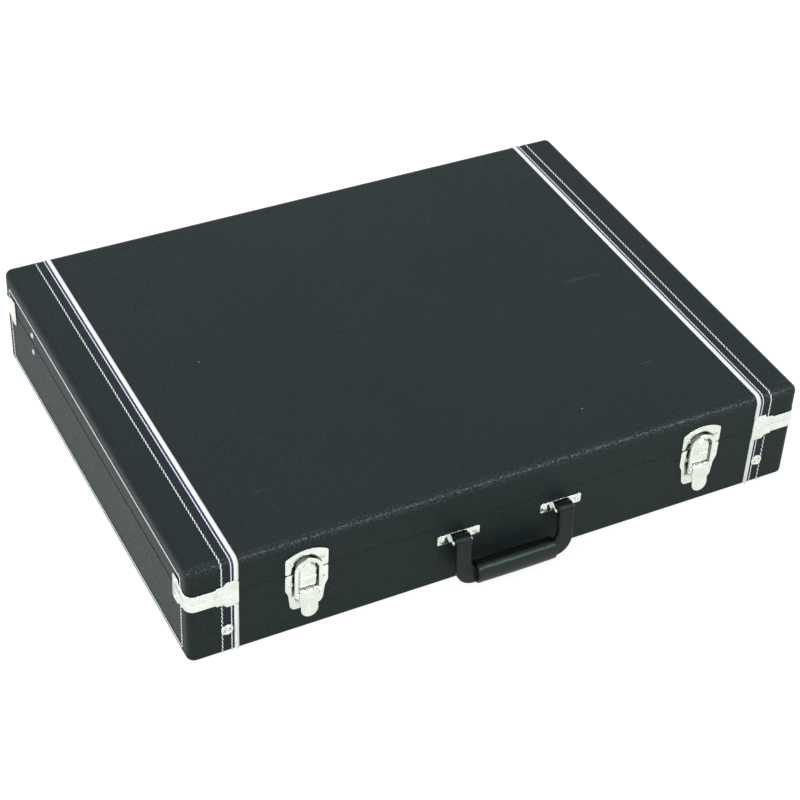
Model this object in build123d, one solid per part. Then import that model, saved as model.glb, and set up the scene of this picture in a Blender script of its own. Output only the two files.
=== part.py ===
from build123d import *
import os

os.makedirs("parts", exist_ok=True)

# Closed case, outside of the vinyl
LENGTH = 860.0
DEPTH = 662.0
HEIGHT = 147.0
LID_DEPTH = 51.0
CORNER_R = 10.5
EDGE_R = 10.0
BOTTOM_R = 4.0
RIM_GAP = 0.5

# Shell build-up
SKIN = 1.2
GLUE = 0.1
BOARD = 9.0
LID_BOARD = 8.2
PANEL = 6.0
LINING = 2.4
FLOOR_PAD = 14.0
LID_PAD = 8.0

# End bands, piping and end panels
BAND = 62.0
BEAD_W = 6.0
BEAD_H = 2.2
SEAM_TOP = 22.0
SEAM_SIDE = 21.0
SEAM_BOTTOM = 6.0
PANEL_STEP = 0.4

# Locating lip
LIP_T = 3.0
LIP_DROP = 10.0
LIP_RISE = 8.0
LIP_CLEAR = 191.0

# Sheet-metal fittings
PLATE = 1.2
SEAT = 0.1
RUN = 0.06

# Draw latches
LATCH_INSET = 150.0
FITTING_SHIFT = 3.0
LEVER_PIN_R = 1.5
BAIL_PIN_R = 1.2
BAIL_HALF = 18.3
BAIL_STRIP = 4.8
LEVER_CLEAR = 0.8
BAIL_BACK = 5.7
BAIL_T = 1.8

# Carrying handle
HANDLE_HALF = 73.0
HANDLE_PIN_OUT = 10.2
HANDLE_PIN_R = 2.0
HANDLE_TILT = 5.0
LOOP_R = 8.2
STRAP_W = 21.0
STRAP_T = 8.0
BAR_H = 21.0
GRIP_H = 30.0
GRIP_T = 27.0
GRIP_HALF = 56.0
FLOOR_GAP = 2.6

# Corner brackets
BRACKET_H = 12.0
LOBE_H = 19.5
FRONT_LEG = 65.0
END_LEG = 44.0

# Cup washers and feet
CUP_INSET = 49.5
CUP_Z = 38.0
FOOT_INSET = 86.0
FOOT_EDGE = 24.0
FOOT_R = 11.0
FOOT_H = 8.5

# Hinges
HINGE_OUT = 3.6
BARREL_R = 3.0
HINGE_PIN_R = 1.5
HINGE_W = 60.0
LEAF_H = 26.0
HINGE_INSET = 142.0

# Lid stays
STAY_REACH = 117.0
STAY_HALF = 14.0
STAY_W = 12.0
STAY_T = 2.0
STAY_PIN_R = 3.0

# Guitar rests
PITCH = 104.0
BODY_NOTCH = 62.0
BODY_REST_H = 62.0
BODY_REST_FLOOR = 30.0
REST_FRONT = 198.0
REST_BACK = 212.0
REST_T = 12.0
NECK_NOTCH = 46.0
NECK_DEEP = 72.0
NECK_BOARD_T = 12.0
NECK_PAD_T = 5.0
NECK_INSET = 46.0
NECK_SPAN = 134.0
NECK_PIN_R = 4.0

PARTING = HEIGHT - LID_DEPTH
FRONT = -DEPTH / 2
BACK = DEPTH / 2
END = LENGTH / 2
WOOD = SKIN + GLUE
BASE_TOP = PARTING - RIM_GAP / 2
LID_BOTTOM = PARTING + RIM_GAP / 2
IN_X = END - WOOD - BOARD
IN_Y = BACK - WOOD - BOARD
FLOOR_Z = WOOD + PANEL
CEILING_Z = HEIGHT - WOOD - PANEL
AXIS_Y = BACK + HINGE_OUT
STAY_Y = AXIS_Y - STAY_REACH
HANDLE_X = FITTING_SHIFT
LATCH_XS = (FITTING_SHIFT + LATCH_INSET - END, FITTING_SHIFT + END - LATCH_INSET)
LEVER_HALF = BAIL_HALF - BAIL_STRIP - LEVER_CLEAR


def slab(x0, x1, y0, y1, z0, z1):
    box = Box(x1 - x0, y1 - y0, z1 - z0)
    return Pos((x0 + x1) / 2, (y0 + y1) / 2, (z0 + z1) / 2) * box


def envelope(grow):
    """Rounded outline of the closed case, moved outward by grow."""
    plan = RectangleRounded(LENGTH + 2 * grow, DEPTH + 2 * grow, CORNER_R + grow)
    block = extrude(Pos(0, 0, -grow) * plan, amount=HEIGHT + 2 * grow)
    rims = block.faces().sort_by(Axis.Z)
    block = fillet(rims[-1].edges(), EDGE_R + grow)
    return fillet(block.faces().sort_by(Axis.Z)[0].edges(), BOTTOM_R + grow)


def front_plane(x=0.0, out=0.0):
    """Sketch plane on the front face: x along the case, y up, outward normal."""
    return Plane(origin=(x, FRONT - out, 0), x_dir=(1, 0, 0), z_dir=(0, -1, 0))


def back_plane(x=0.0, out=0.0):
    return Plane(origin=(x, BACK + out, 0), x_dir=(-1, 0, 0), z_dir=(0, 1, 0))


def end_plane(side, y=0.0, out=0.0):
    """Sketch plane on an end face, side is -1 left or 1 right."""
    return Plane(origin=(side * (END + out), y, 0), x_dir=(0, side, 0), z_dir=(side, 0, 0))


def side_view(x=0.0):
    """Side profile plane of a front fitting: x outward from the front, y up."""
    return Plane(origin=(x, FRONT, 0), x_dir=(0, -1, 0), z_dir=(-1, 0, 0))


def outline(points, cut=0.0):
    """Closed flat shape through the points, corners cut."""
    face = make_face(Polyline(*points, close=True))
    if cut > 0:
        face = chamfer(face.vertices(), cut)
    return face


def rod(start, direction, radius, length):
    """Round rod from a start point along a direction."""
    return extrude(Plane(origin=start, z_dir=direction) * Circle(radius), amount=length)


def cut_corners(width, height, cut):
    """Rectangle with its corners cut off."""
    flat = Rectangle(width, height)
    return chamfer(flat.vertices(), cut)


def head(start, direction, radius, height):
    """Low coned head of a screw or rivet, seated on its plate."""
    flat = Plane(origin=start, z_dir=direction) * RegularPolygon(radius, 12)
    return extrude(flat, amount=height, taper=35)


def save(name, *shapes):
    """One file per named piece; identical fittings stay separate solids."""
    solids = []
    for shape in shapes:
        solids.extend(shape.solids())
    item = solids[0] if len(solids) == 1 else Compound(children=solids)
    export_step(item, f"parts/{name}.step")


# Boards, panels and vinyl
OUTER = envelope(0.0)
UNDER_SKIN = envelope(-SKIN)
WOOD_BLOCK = envelope(-WOOD)
SHELL = OUTER - UNDER_SKIN
BASE_ZONE = (-END - 20, END + 20, FRONT - 20, BACK + 20, -5, BASE_TOP)
LID_ZONE = (-END - 20, END + 20, FRONT - 20, BACK + 20, LID_BOTTOM, HEIGHT + 5)


def stay_holes(radius, depth_in):
    """Clearance holes for the stay rivets through both end walls."""
    cuts = []
    for side in (-1, 1):
        for z in (PARTING - STAY_HALF, PARTING + STAY_HALF):
            start = (side * (END + 3), STAY_Y, z)
            cuts.append(rod(start, (-side, 0, 0), radius, depth_in + 3))
    return cuts


def boards(zone, thick, z0, z1):
    """Front, back, left and right board of one half."""
    cut_x = END - WOOD - thick
    cut_y = BACK - WOOD - thick
    front = WOOD_BLOCK & slab(-END, END, FRONT, -cut_y, z0, z1)
    back = WOOD_BLOCK & slab(-END, END, cut_y, BACK, z0, z1)
    left = WOOD_BLOCK & slab(-END, -cut_x, -cut_y + GLUE, cut_y - GLUE, z0, z1)
    right = WOOD_BLOCK & slab(cut_x, END, -cut_y + GLUE, cut_y - GLUE, z0, z1)
    holes = stay_holes(STAY_PIN_R + RUN, WOOD + thick + 1)
    left = left - holes
    right = right - holes
    return front, back, left, right


def make_base_wood():
    save("base_bottom_panel", WOOD_BLOCK & slab(-END, END, FRONT, BACK, 0, FLOOR_Z))
    front, back, left, right = boards(BASE_ZONE, BOARD, FLOOR_Z + GLUE, BASE_TOP)
    save("base_front_board", front)
    save("base_back_board", back)
    save("base_left_board", left)
    save("base_right_board", right)


def make_lid_wood():
    save("lid_top_panel", WOOD_BLOCK & slab(-END, END, FRONT, BACK, CEILING_Z, HEIGHT))
    front, back, left, right = boards(LID_ZONE, LID_BOARD, LID_BOTTOM, CEILING_Z - GLUE)
    save("lid_front_board", front)
    save("lid_back_board", back)
    save("lid_left_board", left)
    save("lid_right_board", right)


def seam_window(side, z0, z1, inset):
    """Flat region of an end face inside the stitched seam."""
    half = BACK - SEAM_SIDE - inset
    inner = side * (END - SKIN - 2)
    outer = side * (END + 5)
    return slab(min(inner, outer), max(inner, outer), -half, half, z0 + inset, z1 - inset)


def under_sheet(grow):
    """Flat sheet under the base; cover, bands and beads end round its edge."""
    x, y = END - BOTTOM_R - 6.0 - CORNER_R / 2, BACK - BOTTOM_R - 6.0
    plan = RectangleRounded(2 * x + 2 * grow, 2 * y + 2 * grow, 4 + grow)
    return extrude(plan, amount=SKIN + grow)


def make_skin(half, zone, seam_low, seam_high):
    """Main cover, end bands and end panels of one half."""
    skin = (SHELL & slab(*zone)) - under_sheet(GLUE)
    inner = END - BAND - BEAD_W / 2 - GLUE
    outer = END - BAND + BEAD_W / 2 + GLUE
    z0, z1 = zone[4], zone[5]
    save(f"{half}_cover", skin & slab(-inner, inner, FRONT - 5, BACK + 5, z0, z1))
    holes = stay_holes(STAY_PIN_R + RUN, SKIN + 1)
    panels = []
    for side, tag in ((-1, "left"), (1, "right")):
        near, far = side * outer, side * (END + 5)
        part = skin & slab(min(near, far), max(near, far), FRONT - 5, BACK + 5, z0, z1)
        save(f"{half}_band_{tag}", part - seam_window(side, seam_low, seam_high, 0.0))
        window = seam_window(side, seam_low, seam_high, GLUE)
        step = side * (END - PANEL_STEP)
        limit = slab(min(0, step), max(0, step), FRONT, BACK, z0, z1)
        panels.append((skin & window & limit) - holes)
    save(f"{half}_end_panels", *panels)


def make_piping(half, zone):
    """Raised white bead between cover and band, pressed flat under the brackets."""
    plan = Rectangle(DEPTH + 2 * BEAD_H, HEIGHT + BEAD_H)
    plan = fillet(plan.vertices().group_by(Axis.Y)[-1], EDGE_R + BEAD_H)
    plan = fillet(plan.vertices().group_by(Axis.Y)[0], BOTTOM_R + BEAD_H)
    start = Plane(origin=(-BEAD_W / 2, 0, (HEIGHT + BEAD_H) / 2), x_dir=(0, 1, 0), z_dir=(1, 0, 0))
    ring = extrude(start * plan, amount=BEAD_W)
    rims = ring.faces().sort_by(Axis.X)
    ring = chamfer(rims[0].edges() + rims[-1].edges(), BEAD_H * 0.6)
    span = LOBE_H + 0.8
    pressed = slab(-END, END, FRONT - 20, BACK + 20, PARTING - span, PARTING + span)
    for side, tag in ((-1, "left"), (1, "right")):
        x = side * (END - BAND)
        bead = ((Pos(x, 0, 0) * ring) - UNDER_SKIN) & slab(*zone)
        flat = (bead & pressed) & OUTER
        bead = (bead - pressed) + flat
        save(f"{half}_piping_{tag}", bead - under_sheet(GLUE))


def make_lip():
    """Locating lip along the front and both ends of the base rim."""
    reach = BACK - LIP_CLEAR
    x, y = IN_X - GLUE, IN_Y - GLUE
    z0, z1 = BASE_TOP - LIP_DROP, PARTING + LIP_RISE
    front = slab(-x, x, -y, -y + LIP_T, z0, z1)
    left = slab(-x, -x + LIP_T, -y + LIP_T + GLUE, reach, z0, z1)
    right = slab(x - LIP_T, x, -y + LIP_T + GLUE, reach, z0, z1)
    save("rim_lip", front, left, right)


def wall_strips(x, y, z0, z1):
    """Front, back, left and right lining strips of one half."""
    inner = y - LINING - GLUE
    front = slab(-x, x, -y, -y + LINING, z0, z1)
    back = slab(-x, x, y - LINING, y, z0, z1)
    left = slab(-x, -x + LINING, -inner, inner, z0, z1)
    right = slab(x - LINING, x, -inner, inner, z0, z1)
    return front, back, left, right


def make_linings():
    lift = FLOOR_Z + GLUE
    holes = stay_holes(STAY_PIN_R + 4.4, WOOD + BOARD + LINING + 2)
    low = wall_strips(IN_X - GLUE, IN_Y - GLUE, lift, BASE_TOP - LIP_DROP - GLUE)
    save("base_wall_lining", low[0], low[1], low[2] - holes, low[3] - holes)
    lid_x = END - WOOD - LID_BOARD - GLUE
    lid_y = BACK - WOOD - LID_BOARD - GLUE
    high = wall_strips(lid_x, lid_y, PARTING + LIP_RISE + 1.0, CEILING_Z - GLUE)
    save("lid_wall_lining", high[0], high[1], high[2] - holes, high[3] - holes)
    x, y = IN_X - LINING - 0.4, IN_Y - LINING - 0.4
    pad = extrude(Pos(0, 0, lift) * RectangleRounded(2 * x, 2 * y, 5), amount=FLOOR_PAD)
    save("base_floor_pad", chamfer(pad.faces().sort_by(Axis.Z)[-1].edges(), 2.4))
    low_z = CEILING_Z - GLUE - LID_PAD
    pad = extrude(Pos(0, 0, low_z) * RectangleRounded(2 * x, 2 * y, 5), amount=LID_PAD)
    save("lid_pad", chamfer(pad.faces().sort_by(Axis.Z)[0].edges(), 2.4))


def notch_centres():
    count = int((2 * IN_X - 70.0) // PITCH)
    return [(i - (count - 1) / 2) * PITCH for i in range(count)]


def make_body_rests():
    """Upright boards with one rounded notch per guitar body."""
    z0 = FLOOR_Z + FLOOR_PAD + 2 * GLUE
    half = IN_X - LINING - 14.0
    low, high = z0, z0 + BODY_REST_H
    for tag, y in (("front", FRONT + REST_FRONT), ("back", BACK - REST_BACK)):
        plate = Pos(0, (low + high) / 2) * Rectangle(2 * half, high - low)
        floor = low + BODY_REST_FLOOR
        for x in notch_centres():
            slot = Pos(x, (floor + high + 30) / 2) * RectangleRounded(BODY_NOTCH, high + 30 - floor, 18)
            plate = plate - slot
        face = Plane(origin=(0, y + REST_T / 2, 0), x_dir=(1, 0, 0), z_dir=(0, -1, 0))
        save(f"body_rest_{tag}", extrude(face * plate, amount=REST_T))


# Swinging neck rest in the lid
NECK_TOP = CEILING_Z - GLUE - LID_PAD - 4.0
NECK_AXIS_Z = NECK_TOP - NECK_BOARD_T / 2
NECK_AXIS_Y = FRONT + NECK_INSET
NECK_HALF = END - WOOD - LID_BOARD - LINING - 6.0


def comb(half, y0, y1, grow):
    """Plan of the neck rest: a board with open notches on its free edge."""
    plan = Pos(0, (y0 + y1) / 2) * Rectangle(2 * half, y1 - y0)
    width = NECK_NOTCH + 2 * grow
    base = y1 - NECK_DEEP - grow
    for x in notch_centres():
        spot = Pos(x, (base + y1 + 40) / 2)
        if grow > 0:
            slot = spot * cut_corners(width, y1 + 40 - base, width * 0.3)
        else:
            slot = spot * RectangleRounded(width, y1 + 40 - base, width / 2 - 0.5)
        plan = plan - slot
    return plan


def make_neck_rest():
    y0, y1 = NECK_AXIS_Y, NECK_AXIS_Y + NECK_SPAN
    low = NECK_TOP - NECK_BOARD_T
    board = extrude(Pos(0, 0, low) * comb(NECK_HALF, y0, y1, 0.0), amount=NECK_BOARD_T)
    axle = rod((-NECK_HALF, NECK_AXIS_Y, NECK_AXIS_Z), (1, 0, 0), NECK_BOARD_T / 2, 2 * NECK_HALF)
    board = board + axle
    for side in (-1, 1):
        start = (side * (NECK_HALF + 1), NECK_AXIS_Y, NECK_AXIS_Z)
        board = board - rod(start, (-side, 0, 0), NECK_PIN_R + RUN, 17.0)
    save("neck_rest_board", board)
    low = low - GLUE - NECK_PAD_T
    pad = extrude(Pos(0, 0, low) * comb(NECK_HALF - 8, y0 + 14, y1 - 4, 5.0), amount=NECK_PAD_T)
    save("neck_rest_pad", pad)
    plates = []
    for side in (-1, 1):
        wall = END - WOOD - LID_BOARD - LINING - 3 * GLUE
        plane = Plane(origin=(side * wall, NECK_AXIS_Y, NECK_AXIS_Z), x_dir=(0, 1, 0), z_dir=(-1, 0, 0))
        depth = -side * 2.5
        plate = extrude(plane * cut_corners(44, 18, 3), amount=-depth)
        plates.append(plate + rod((side * wall, NECK_AXIS_Y, NECK_AXIS_Z), (-side, 0, 0), NECK_PIN_R, 16.0))
    save("neck_rest_brackets", *plates)


# Draw latches, drawn at the middle of the front and copied to both places
LEVER_PIN_Z = PARTING - 28.5
LEVER_PIN_OUT = 6.0
BAIL_PIN_Z = PARTING - 35.4
BAIL_PIN_OUT = 6.6
STRIKE_W = 56.5
STRIKE_H = 24.5
STRIKE_RISE = 9.0
DOME_TOP = 12.5
DOME_DROP = 8.0
BAIL_RISE = 22.5


def strike():
    """Lid plate with an arched top and the catch dome that the bail closes over."""
    low, shoulder = LID_BOTTOM + 0.3, PARTING + STRIKE_H
    half = STRIKE_W / 2
    corners = Polyline((-half, shoulder), (-half, low), (half, low), (half, shoulder))
    arch = ThreePointArc((half, shoulder), (0, shoulder + STRIKE_RISE), (-half, shoulder))
    flat = make_face(corners + arch)
    flat = chamfer(flat.vertices(), 1.6)
    plate = extrude(front_plane(0, SEAT) * flat, amount=PLATE)
    wide = LEVER_HALF - 1.2
    tall = PARTING + DOME_TOP - wide
    bump = Pos(0, tall) * Circle(wide) & Pos(0, tall + 10) * Rectangle(2 * wide, 20)
    bump = bump + Pos(0, (PARTING - DOME_DROP + tall) / 2) * Rectangle(2 * wide, tall - PARTING + DOME_DROP)
    dome = extrude(front_plane(0, SEAT + PLATE + 0.5) * bump, amount=3.3)
    dome = chamfer(dome.faces().sort_by(Axis.Y)[0].edges(), 1.4)
    stem = slab(-wide, wide, FRONT - SEAT - PLATE - 0.6, FRONT - SEAT - 0.2, low, tall)
    return plate + dome + stem


def base_plate():
    """Base plate with a raised panel and the two ears that carry the lever pin."""
    z, half = PARTING, STRIKE_W / 2
    side = [(half, z - 0.9), (half, z - 25), (half - 3.9, z - 33), (half - 6.4, z - 54), (half - 11, z - 59.5)]
    points = side + [(-x, y) for x, y in reversed(side)]
    plate = extrude(front_plane(0, SEAT) * outline(points, 1.6), amount=PLATE)
    p, pin = LEVER_PIN_OUT, LEVER_PIN_Z
    wide, top, low = LEVER_HALF - 1.2, z - DOME_DROP - 0.5, pin + 4.8
    panel = extrude(front_plane(0, 0.7) * (Pos(0, (top + low) / 2) * Rectangle(2 * wide, top - low)), amount=4.4)
    plate = plate + chamfer(panel.faces().sort_by(Axis.Y)[0].edges(), 1.2)
    web = outline([(0.6, pin - 12), (0.6, pin - 0.5), (p, pin + 1.9), (p + 1.6, pin - 1.5)])
    web = web + Pos(p, pin) * Circle(2.3)
    for x in (-4.6, 4.6):
        plate = plate + extrude(side_view(x) * web, amount=0.8, both=True)
    plate = plate - slab(-40, 40, FRONT - SEAT, FRONT + 20, 0, HEIGHT)
    reach = LEVER_HALF - 0.1
    return plate + rod((-reach, FRONT - p, pin), (1, 0, 0), LEVER_PIN_R, 2 * reach)


def lever():
    """Pressed lever: rolled knuckles on the pin, side flanges and a finger tab."""
    top, knee, tip = LEVER_PIN_Z + 1.4, PARTING - 46.4, PARTING - 66.5
    p, half = LEVER_PIN_OUT, LEVER_HALF
    p0, p1 = p + 2.7, p + 3.9
    curve = [(p0, top), (p1, top), (p1, knee), (p1 + 3.0, tip - 1), (p0 + 3.0, tip - 1), (p0, knee)]
    sheet = extrude(side_view(0) * outline(curve), amount=half, both=True)
    tab = half - 1.3
    body = Pos(0, (top + knee) / 2) * Rectangle(2 * half, top - knee)
    tongue = Pos(0, (knee + tip + tab) / 2) * Rectangle(2 * tab, knee - tip - tab) + Pos(0, tip + tab) * Circle(tab)
    item = sheet & extrude(front_plane(0) * (body + tongue), amount=20)
    pin, eye = LEVER_PIN_Z, BAIL_PIN_Z
    knuckle = rod((-half, FRONT - p, pin), (1, 0, 0), 3.0, 2 * half)
    for x in (-4.6, 4.6):
        knuckle = knuckle - slab(x - 1.2, x + 1.2, FRONT - p - 2.65, FRONT, pin - 5, pin + 5)
    item = item + knuckle
    flank = outline([(p1, pin), (p, pin + 2), (3.9, pin - 2), (3.9, eye - 4), (p1, knee + 1)])
    for x in (0.7 - half, half - 0.7):
        item = item + extrude(side_view(x) * flank, amount=0.7, both=True)
    item = item - rod((-20, FRONT - p, pin), (1, 0, 0), LEVER_PIN_R + RUN, 40)
    return item - rod((-20, FRONT - BAIL_PIN_OUT, eye), (1, 0, 0), BAIL_PIN_R + RUN, 40)


def bail():
    """Arched loop with bent ears and inward studs at its foot."""
    crown, foot = PARTING + BAIL_RISE - BAIL_HALF, BAIL_PIN_Z
    outer = Pos(0, crown) * Circle(BAIL_HALF)
    outer = outer + Pos(0, (crown + foot) / 2) * Rectangle(2 * BAIL_HALF, crown - foot)
    inner = Pos(0, crown) * Circle(BAIL_HALF - BAIL_STRIP)
    inner = inner + Pos(0, (crown + foot) / 2 - 5) * Rectangle(2 * (BAIL_HALF - BAIL_STRIP), crown - foot + 10)
    item = extrude(front_plane(0, BAIL_BACK) * (outer - inner), amount=BAIL_T)
    ear = Pos(BAIL_PIN_OUT, foot + 2) * cut_corners(5.6, 10, 1.8)
    edge = BAIL_HALF - BAIL_STRIP
    for side in (-1, 1):
        item = item + extrude(side_view(side * (edge + 1)) * ear, amount=1.0, both=True)
        near = side * (edge - 2.2)
        item = item + rod((near, FRONT - BAIL_PIN_OUT, foot), (side, 0, 0), BAIL_PIN_R, 3.0)
        item = item + head((side * (edge + 1.5), FRONT - BAIL_PIN_OUT, foot), (side, 0, 0), 2.4, 1.5)
    return item


def make_latches():
    save("latch_strikes", *[Pos(x, 0, 0) * strike() for x in LATCH_XS])
    save("latch_plates", *[Pos(x, 0, 0) * base_plate() for x in LATCH_XS])
    for x, tag in zip(LATCH_XS, ("left", "right")):
        save(f"latch_lever_{tag}", Pos(x, 0, 0) * lever())
        save(f"latch_bail_{tag}", Pos(x, 0, 0) * bail())


# Carrying handle
HANDLE_PIN_Z = PARTING - 23.5
HANDLE_PLATE_Z = PARTING - 22.5
HANDLE_DROP = HANDLE_PIN_Z - FLOOR_GAP - 1.2


def handle_plate(x):
    z, pin = HANDLE_PLATE_Z, HANDLE_PIN_Z
    plate = extrude(front_plane(x, SEAT) * (Pos(0, z) * cut_corners(59, 14.5, 1.5)), amount=PLATE)
    p = HANDLE_PIN_OUT
    lug = outline([(0.6, z - 6.5), (0.6, z + 5.5), (p, pin + 3.2), (p, pin - 3.2)])
    lug = lug + Pos(p, pin) * Circle(3.4)
    for side in (-1, 1):
        plate = plate + extrude(side_view(x + side * 12.2) * lug, amount=0.8, both=True)
    plate = plate - slab(x - 40, x + 40, FRONT - SEAT, FRONT + 20, 0, HEIGHT)
    return plate + rod((x - 13.8, FRONT - p, HANDLE_PIN_Z), (1, 0, 0), HANDLE_PIN_R, 27.6)


def stored(shape):
    """Lean the hanging handle outward to its stored angle."""
    axis = Axis((0, FRONT - HANDLE_PIN_OUT, HANDLE_PIN_Z), (-1, 0, 0))
    return shape.rotate(axis, HANDLE_TILT)


def handle_core():
    """Moulded strap: two end loops, two legs and the bar under the grip."""
    x, w, top, low = HANDLE_X, HANDLE_HALF + STRAP_W / 2, HANDLE_PIN_Z, HANDLE_PIN_Z - HANDLE_DROP
    low_bar = low + 1.2
    outer = Pos(0, (top + low_bar) / 2) * Rectangle(2 * w, top - low_bar)
    outer = fillet(outer.vertices().group_by(Axis.Y)[0], 26)
    reach = top - low_bar - BAR_H + 20
    inner = Pos(0, low_bar + BAR_H + reach / 2) * Rectangle(2 * (w - STRAP_W), reach)
    inner = fillet(inner.vertices().group_by(Axis.Y)[0], 17)
    base_out = HANDLE_PIN_OUT + LOOP_R - STRAP_T
    body = extrude(front_plane(x, base_out) * (outer - inner), amount=STRAP_T)
    faces = body.faces().sort_by(Axis.Y)
    body = chamfer(faces[0].edges() + faces[-1].edges(), 1.6)
    for side in (-1, 1):
        start = (x + side * HANDLE_HALF - STRAP_W / 2, FRONT - HANDLE_PIN_OUT, top)
        body = body + rod(start, (1, 0, 0), LOOP_R, STRAP_W)
        body = body - rod((start[0] - 2, start[1], top), (1, 0, 0), HANDLE_PIN_R + RUN, STRAP_W + 4)
    return body


def make_handle():
    sides = (HANDLE_X - HANDLE_HALF, HANDLE_X + HANDLE_HALF)
    save("handle_plates", *[handle_plate(x) for x in sides])
    core = handle_core()
    low = HANDLE_PIN_Z - HANDLE_DROP
    mid = low + GRIP_H / 2
    out = HANDLE_PIN_OUT + LOOP_R - STRAP_T / 2
    plane = Plane(origin=(HANDLE_X - GRIP_HALF, FRONT - out, mid), x_dir=(0, 1, 0), z_dir=(1, 0, 0))
    grip = extrude(plane * RectangleRounded(GRIP_T, GRIP_H, GRIP_T / 2 - 1.0), amount=2 * GRIP_HALF)
    ends = grip.faces().sort_by(Axis.X)
    grip = chamfer(ends[0].edges() + ends[-1].edges(), 2.4)
    bar = STRAP_T / 2 + GLUE
    back, front = FRONT - out - bar, FRONT - out + bar
    slot = slab(HANDLE_X - 120, HANDLE_X + 120, back, front, low + 1.1, low + 1.3 + BAR_H)
    for side in (-1, 1):
        near, far = HANDLE_X + side * (GRIP_HALF - 14), HANDLE_X + side * 120
        slot = slot + slab(min(near, far), max(near, far), back, front, low + 1.1, low + BAR_H + 6)
    save("handle_core", stored(core))
    save("handle_grip", stored(grip - slot))


# Corner brackets
def leg_profile(length):
    """One leg seen square on: narrow strap, a step, then a round lobe."""
    lobe = LOBE_H * 0.98
    strap = Pos((length - lobe * 0.5) / 2 - 20, BRACKET_H / 2) * Rectangle(length - lobe * 0.5 + 40, BRACKET_H)
    step = Pos(length - lobe - 4.5, BRACKET_H / 2 + 1.2) * cut_corners(12, BRACKET_H + 2.4, 1.2)
    pad = Pos(length - lobe / 2, LOBE_H / 2) * cut_corners(lobe, LOBE_H, 3.4)
    flush = Pos(length - lobe / 2 - 6, 3) * Rectangle(lobe + 12, 6)
    flat = strap + step + pad + flush
    keep = Pos(length / 2 - 30, 15) * Rectangle(length + 60, 30)
    return flat & keep


def bracket(sx, sy, rise, band):
    start = LID_BOTTOM + 0.1 if rise > 0 else BASE_TOP - 0.1
    masks = []
    for length, origin, along, normal in (
        (FRONT_LEG, (sx * END, sy * BACK, start), (-sx, 0, 0), (0, sy, 0)),
        (END_LEG, (sx * END, sy * BACK, start), (0, -sy, 0), (sx, 0, 0)),
    ):
        flat = leg_profile(length)
        up = Vector(0, 0, rise)
        z_dir = Vector(*along).cross(up)
        plane = Plane(origin=origin, x_dir=along, z_dir=z_dir)
        away = z_dir.dot(Vector(*normal))
        near = extrude(plane * flat, amount=5.0 * away)
        deep = extrude(plane * flat, amount=-CORNER_R * away)
        masks.append(near + deep)
    item = band & (masks[0] + masks[1])
    return item


def make_brackets():
    band = envelope(SEAT + PLATE) - envelope(SEAT)
    face = SEAT + PLATE
    for half, rise in (("base", -1), ("lid", 1)):
        start = LID_BOTTOM + 0.1 if rise > 0 else BASE_TOP - 0.1
        plates, rivets = [], []
        for sx in (-1, 1):
            for sy in (-1, 1):
                plates.append(bracket(sx, sy, rise, band))
                z = start + rise * 13.0
                a = (sx * (END - FRONT_LEG + 9.5), sy * (BACK + face), z)
                b = (sx * (END + face), sy * (BACK - END_LEG + 9.5), z)
                rivets.append(head(a, (0, sy, 0), 3.8, 1.6))
                rivets.append(head(b, (sx, 0, 0), 3.8, 1.6))
        save(f"corner_brackets_{half}", *plates)
        save(f"bracket_rivets_{half}", *rivets)


# Hinges
HINGE_XS = (HINGE_INSET - END, 0.0, END - HINGE_INSET)


def hinge_leaf(x, rise):
    """Leaf of one hinge; the base leaf carries the outer knuckles and the pin."""
    plane = back_plane(x, SEAT)
    notch = BARREL_R + 0.5
    third = HINGE_W / 6
    if rise > 0:
        low, high = PARTING + 0.6, PARTING + LEAF_H
        knuckles = ((-third, third),)
        cuts = ((third + 0.25, HINGE_W), (-HINGE_W, -third - 0.25))
        band = (PARTING - 5, PARTING + notch)
    else:
        low, high = PARTING - LEAF_H, PARTING - 0.6
        knuckles = ((-HINGE_W / 2, -third - 0.5), (third + 0.5, HINGE_W / 2))
        cuts = ((-third - 0.25, third + 0.25),)
        band = (PARTING - notch, PARTING + 5)
    flat = Pos(0, (low + high) / 2) * cut_corners(HINGE_W, high - low, 2.0)
    leaf = extrude(plane * flat, amount=PLATE)
    inside = slab(x - HINGE_W, x + HINGE_W, BACK - 5, BACK + SEAT, 0, HEIGHT)
    for a, b in cuts:
        leaf = leaf - slab(x + a, x + b, BACK - 1, BACK + 9, band[0], band[1])
    for a, b in knuckles:
        barrel = rod((x + a, AXIS_Y, PARTING), (1, 0, 0), BARREL_R, b - a)
        z0, z1 = (PARTING, PARTING + 4) if rise > 0 else (PARTING - 4, PARTING)
        wall = slab(x + a, x + b, BACK + SEAT, BACK + SEAT + PLATE, z0, z1)
        leaf = leaf + (barrel + wall)
    leaf = leaf - inside
    if rise > 0:
        leaf = leaf - rod((x - HINGE_W, AXIS_Y, PARTING), (1, 0, 0), HINGE_PIN_R + RUN, 2 * HINGE_W)
    else:
        leaf = leaf + rod((x - HINGE_W / 2, AXIS_Y, PARTING), (1, 0, 0), HINGE_PIN_R, HINGE_W)
    return leaf


def make_hinges():
    save("hinge_leaves_base", *[hinge_leaf(x, -1) for x in HINGE_XS])
    save("hinge_leaves_lid", *[hinge_leaf(x, 1) for x in HINGE_XS])


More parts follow.
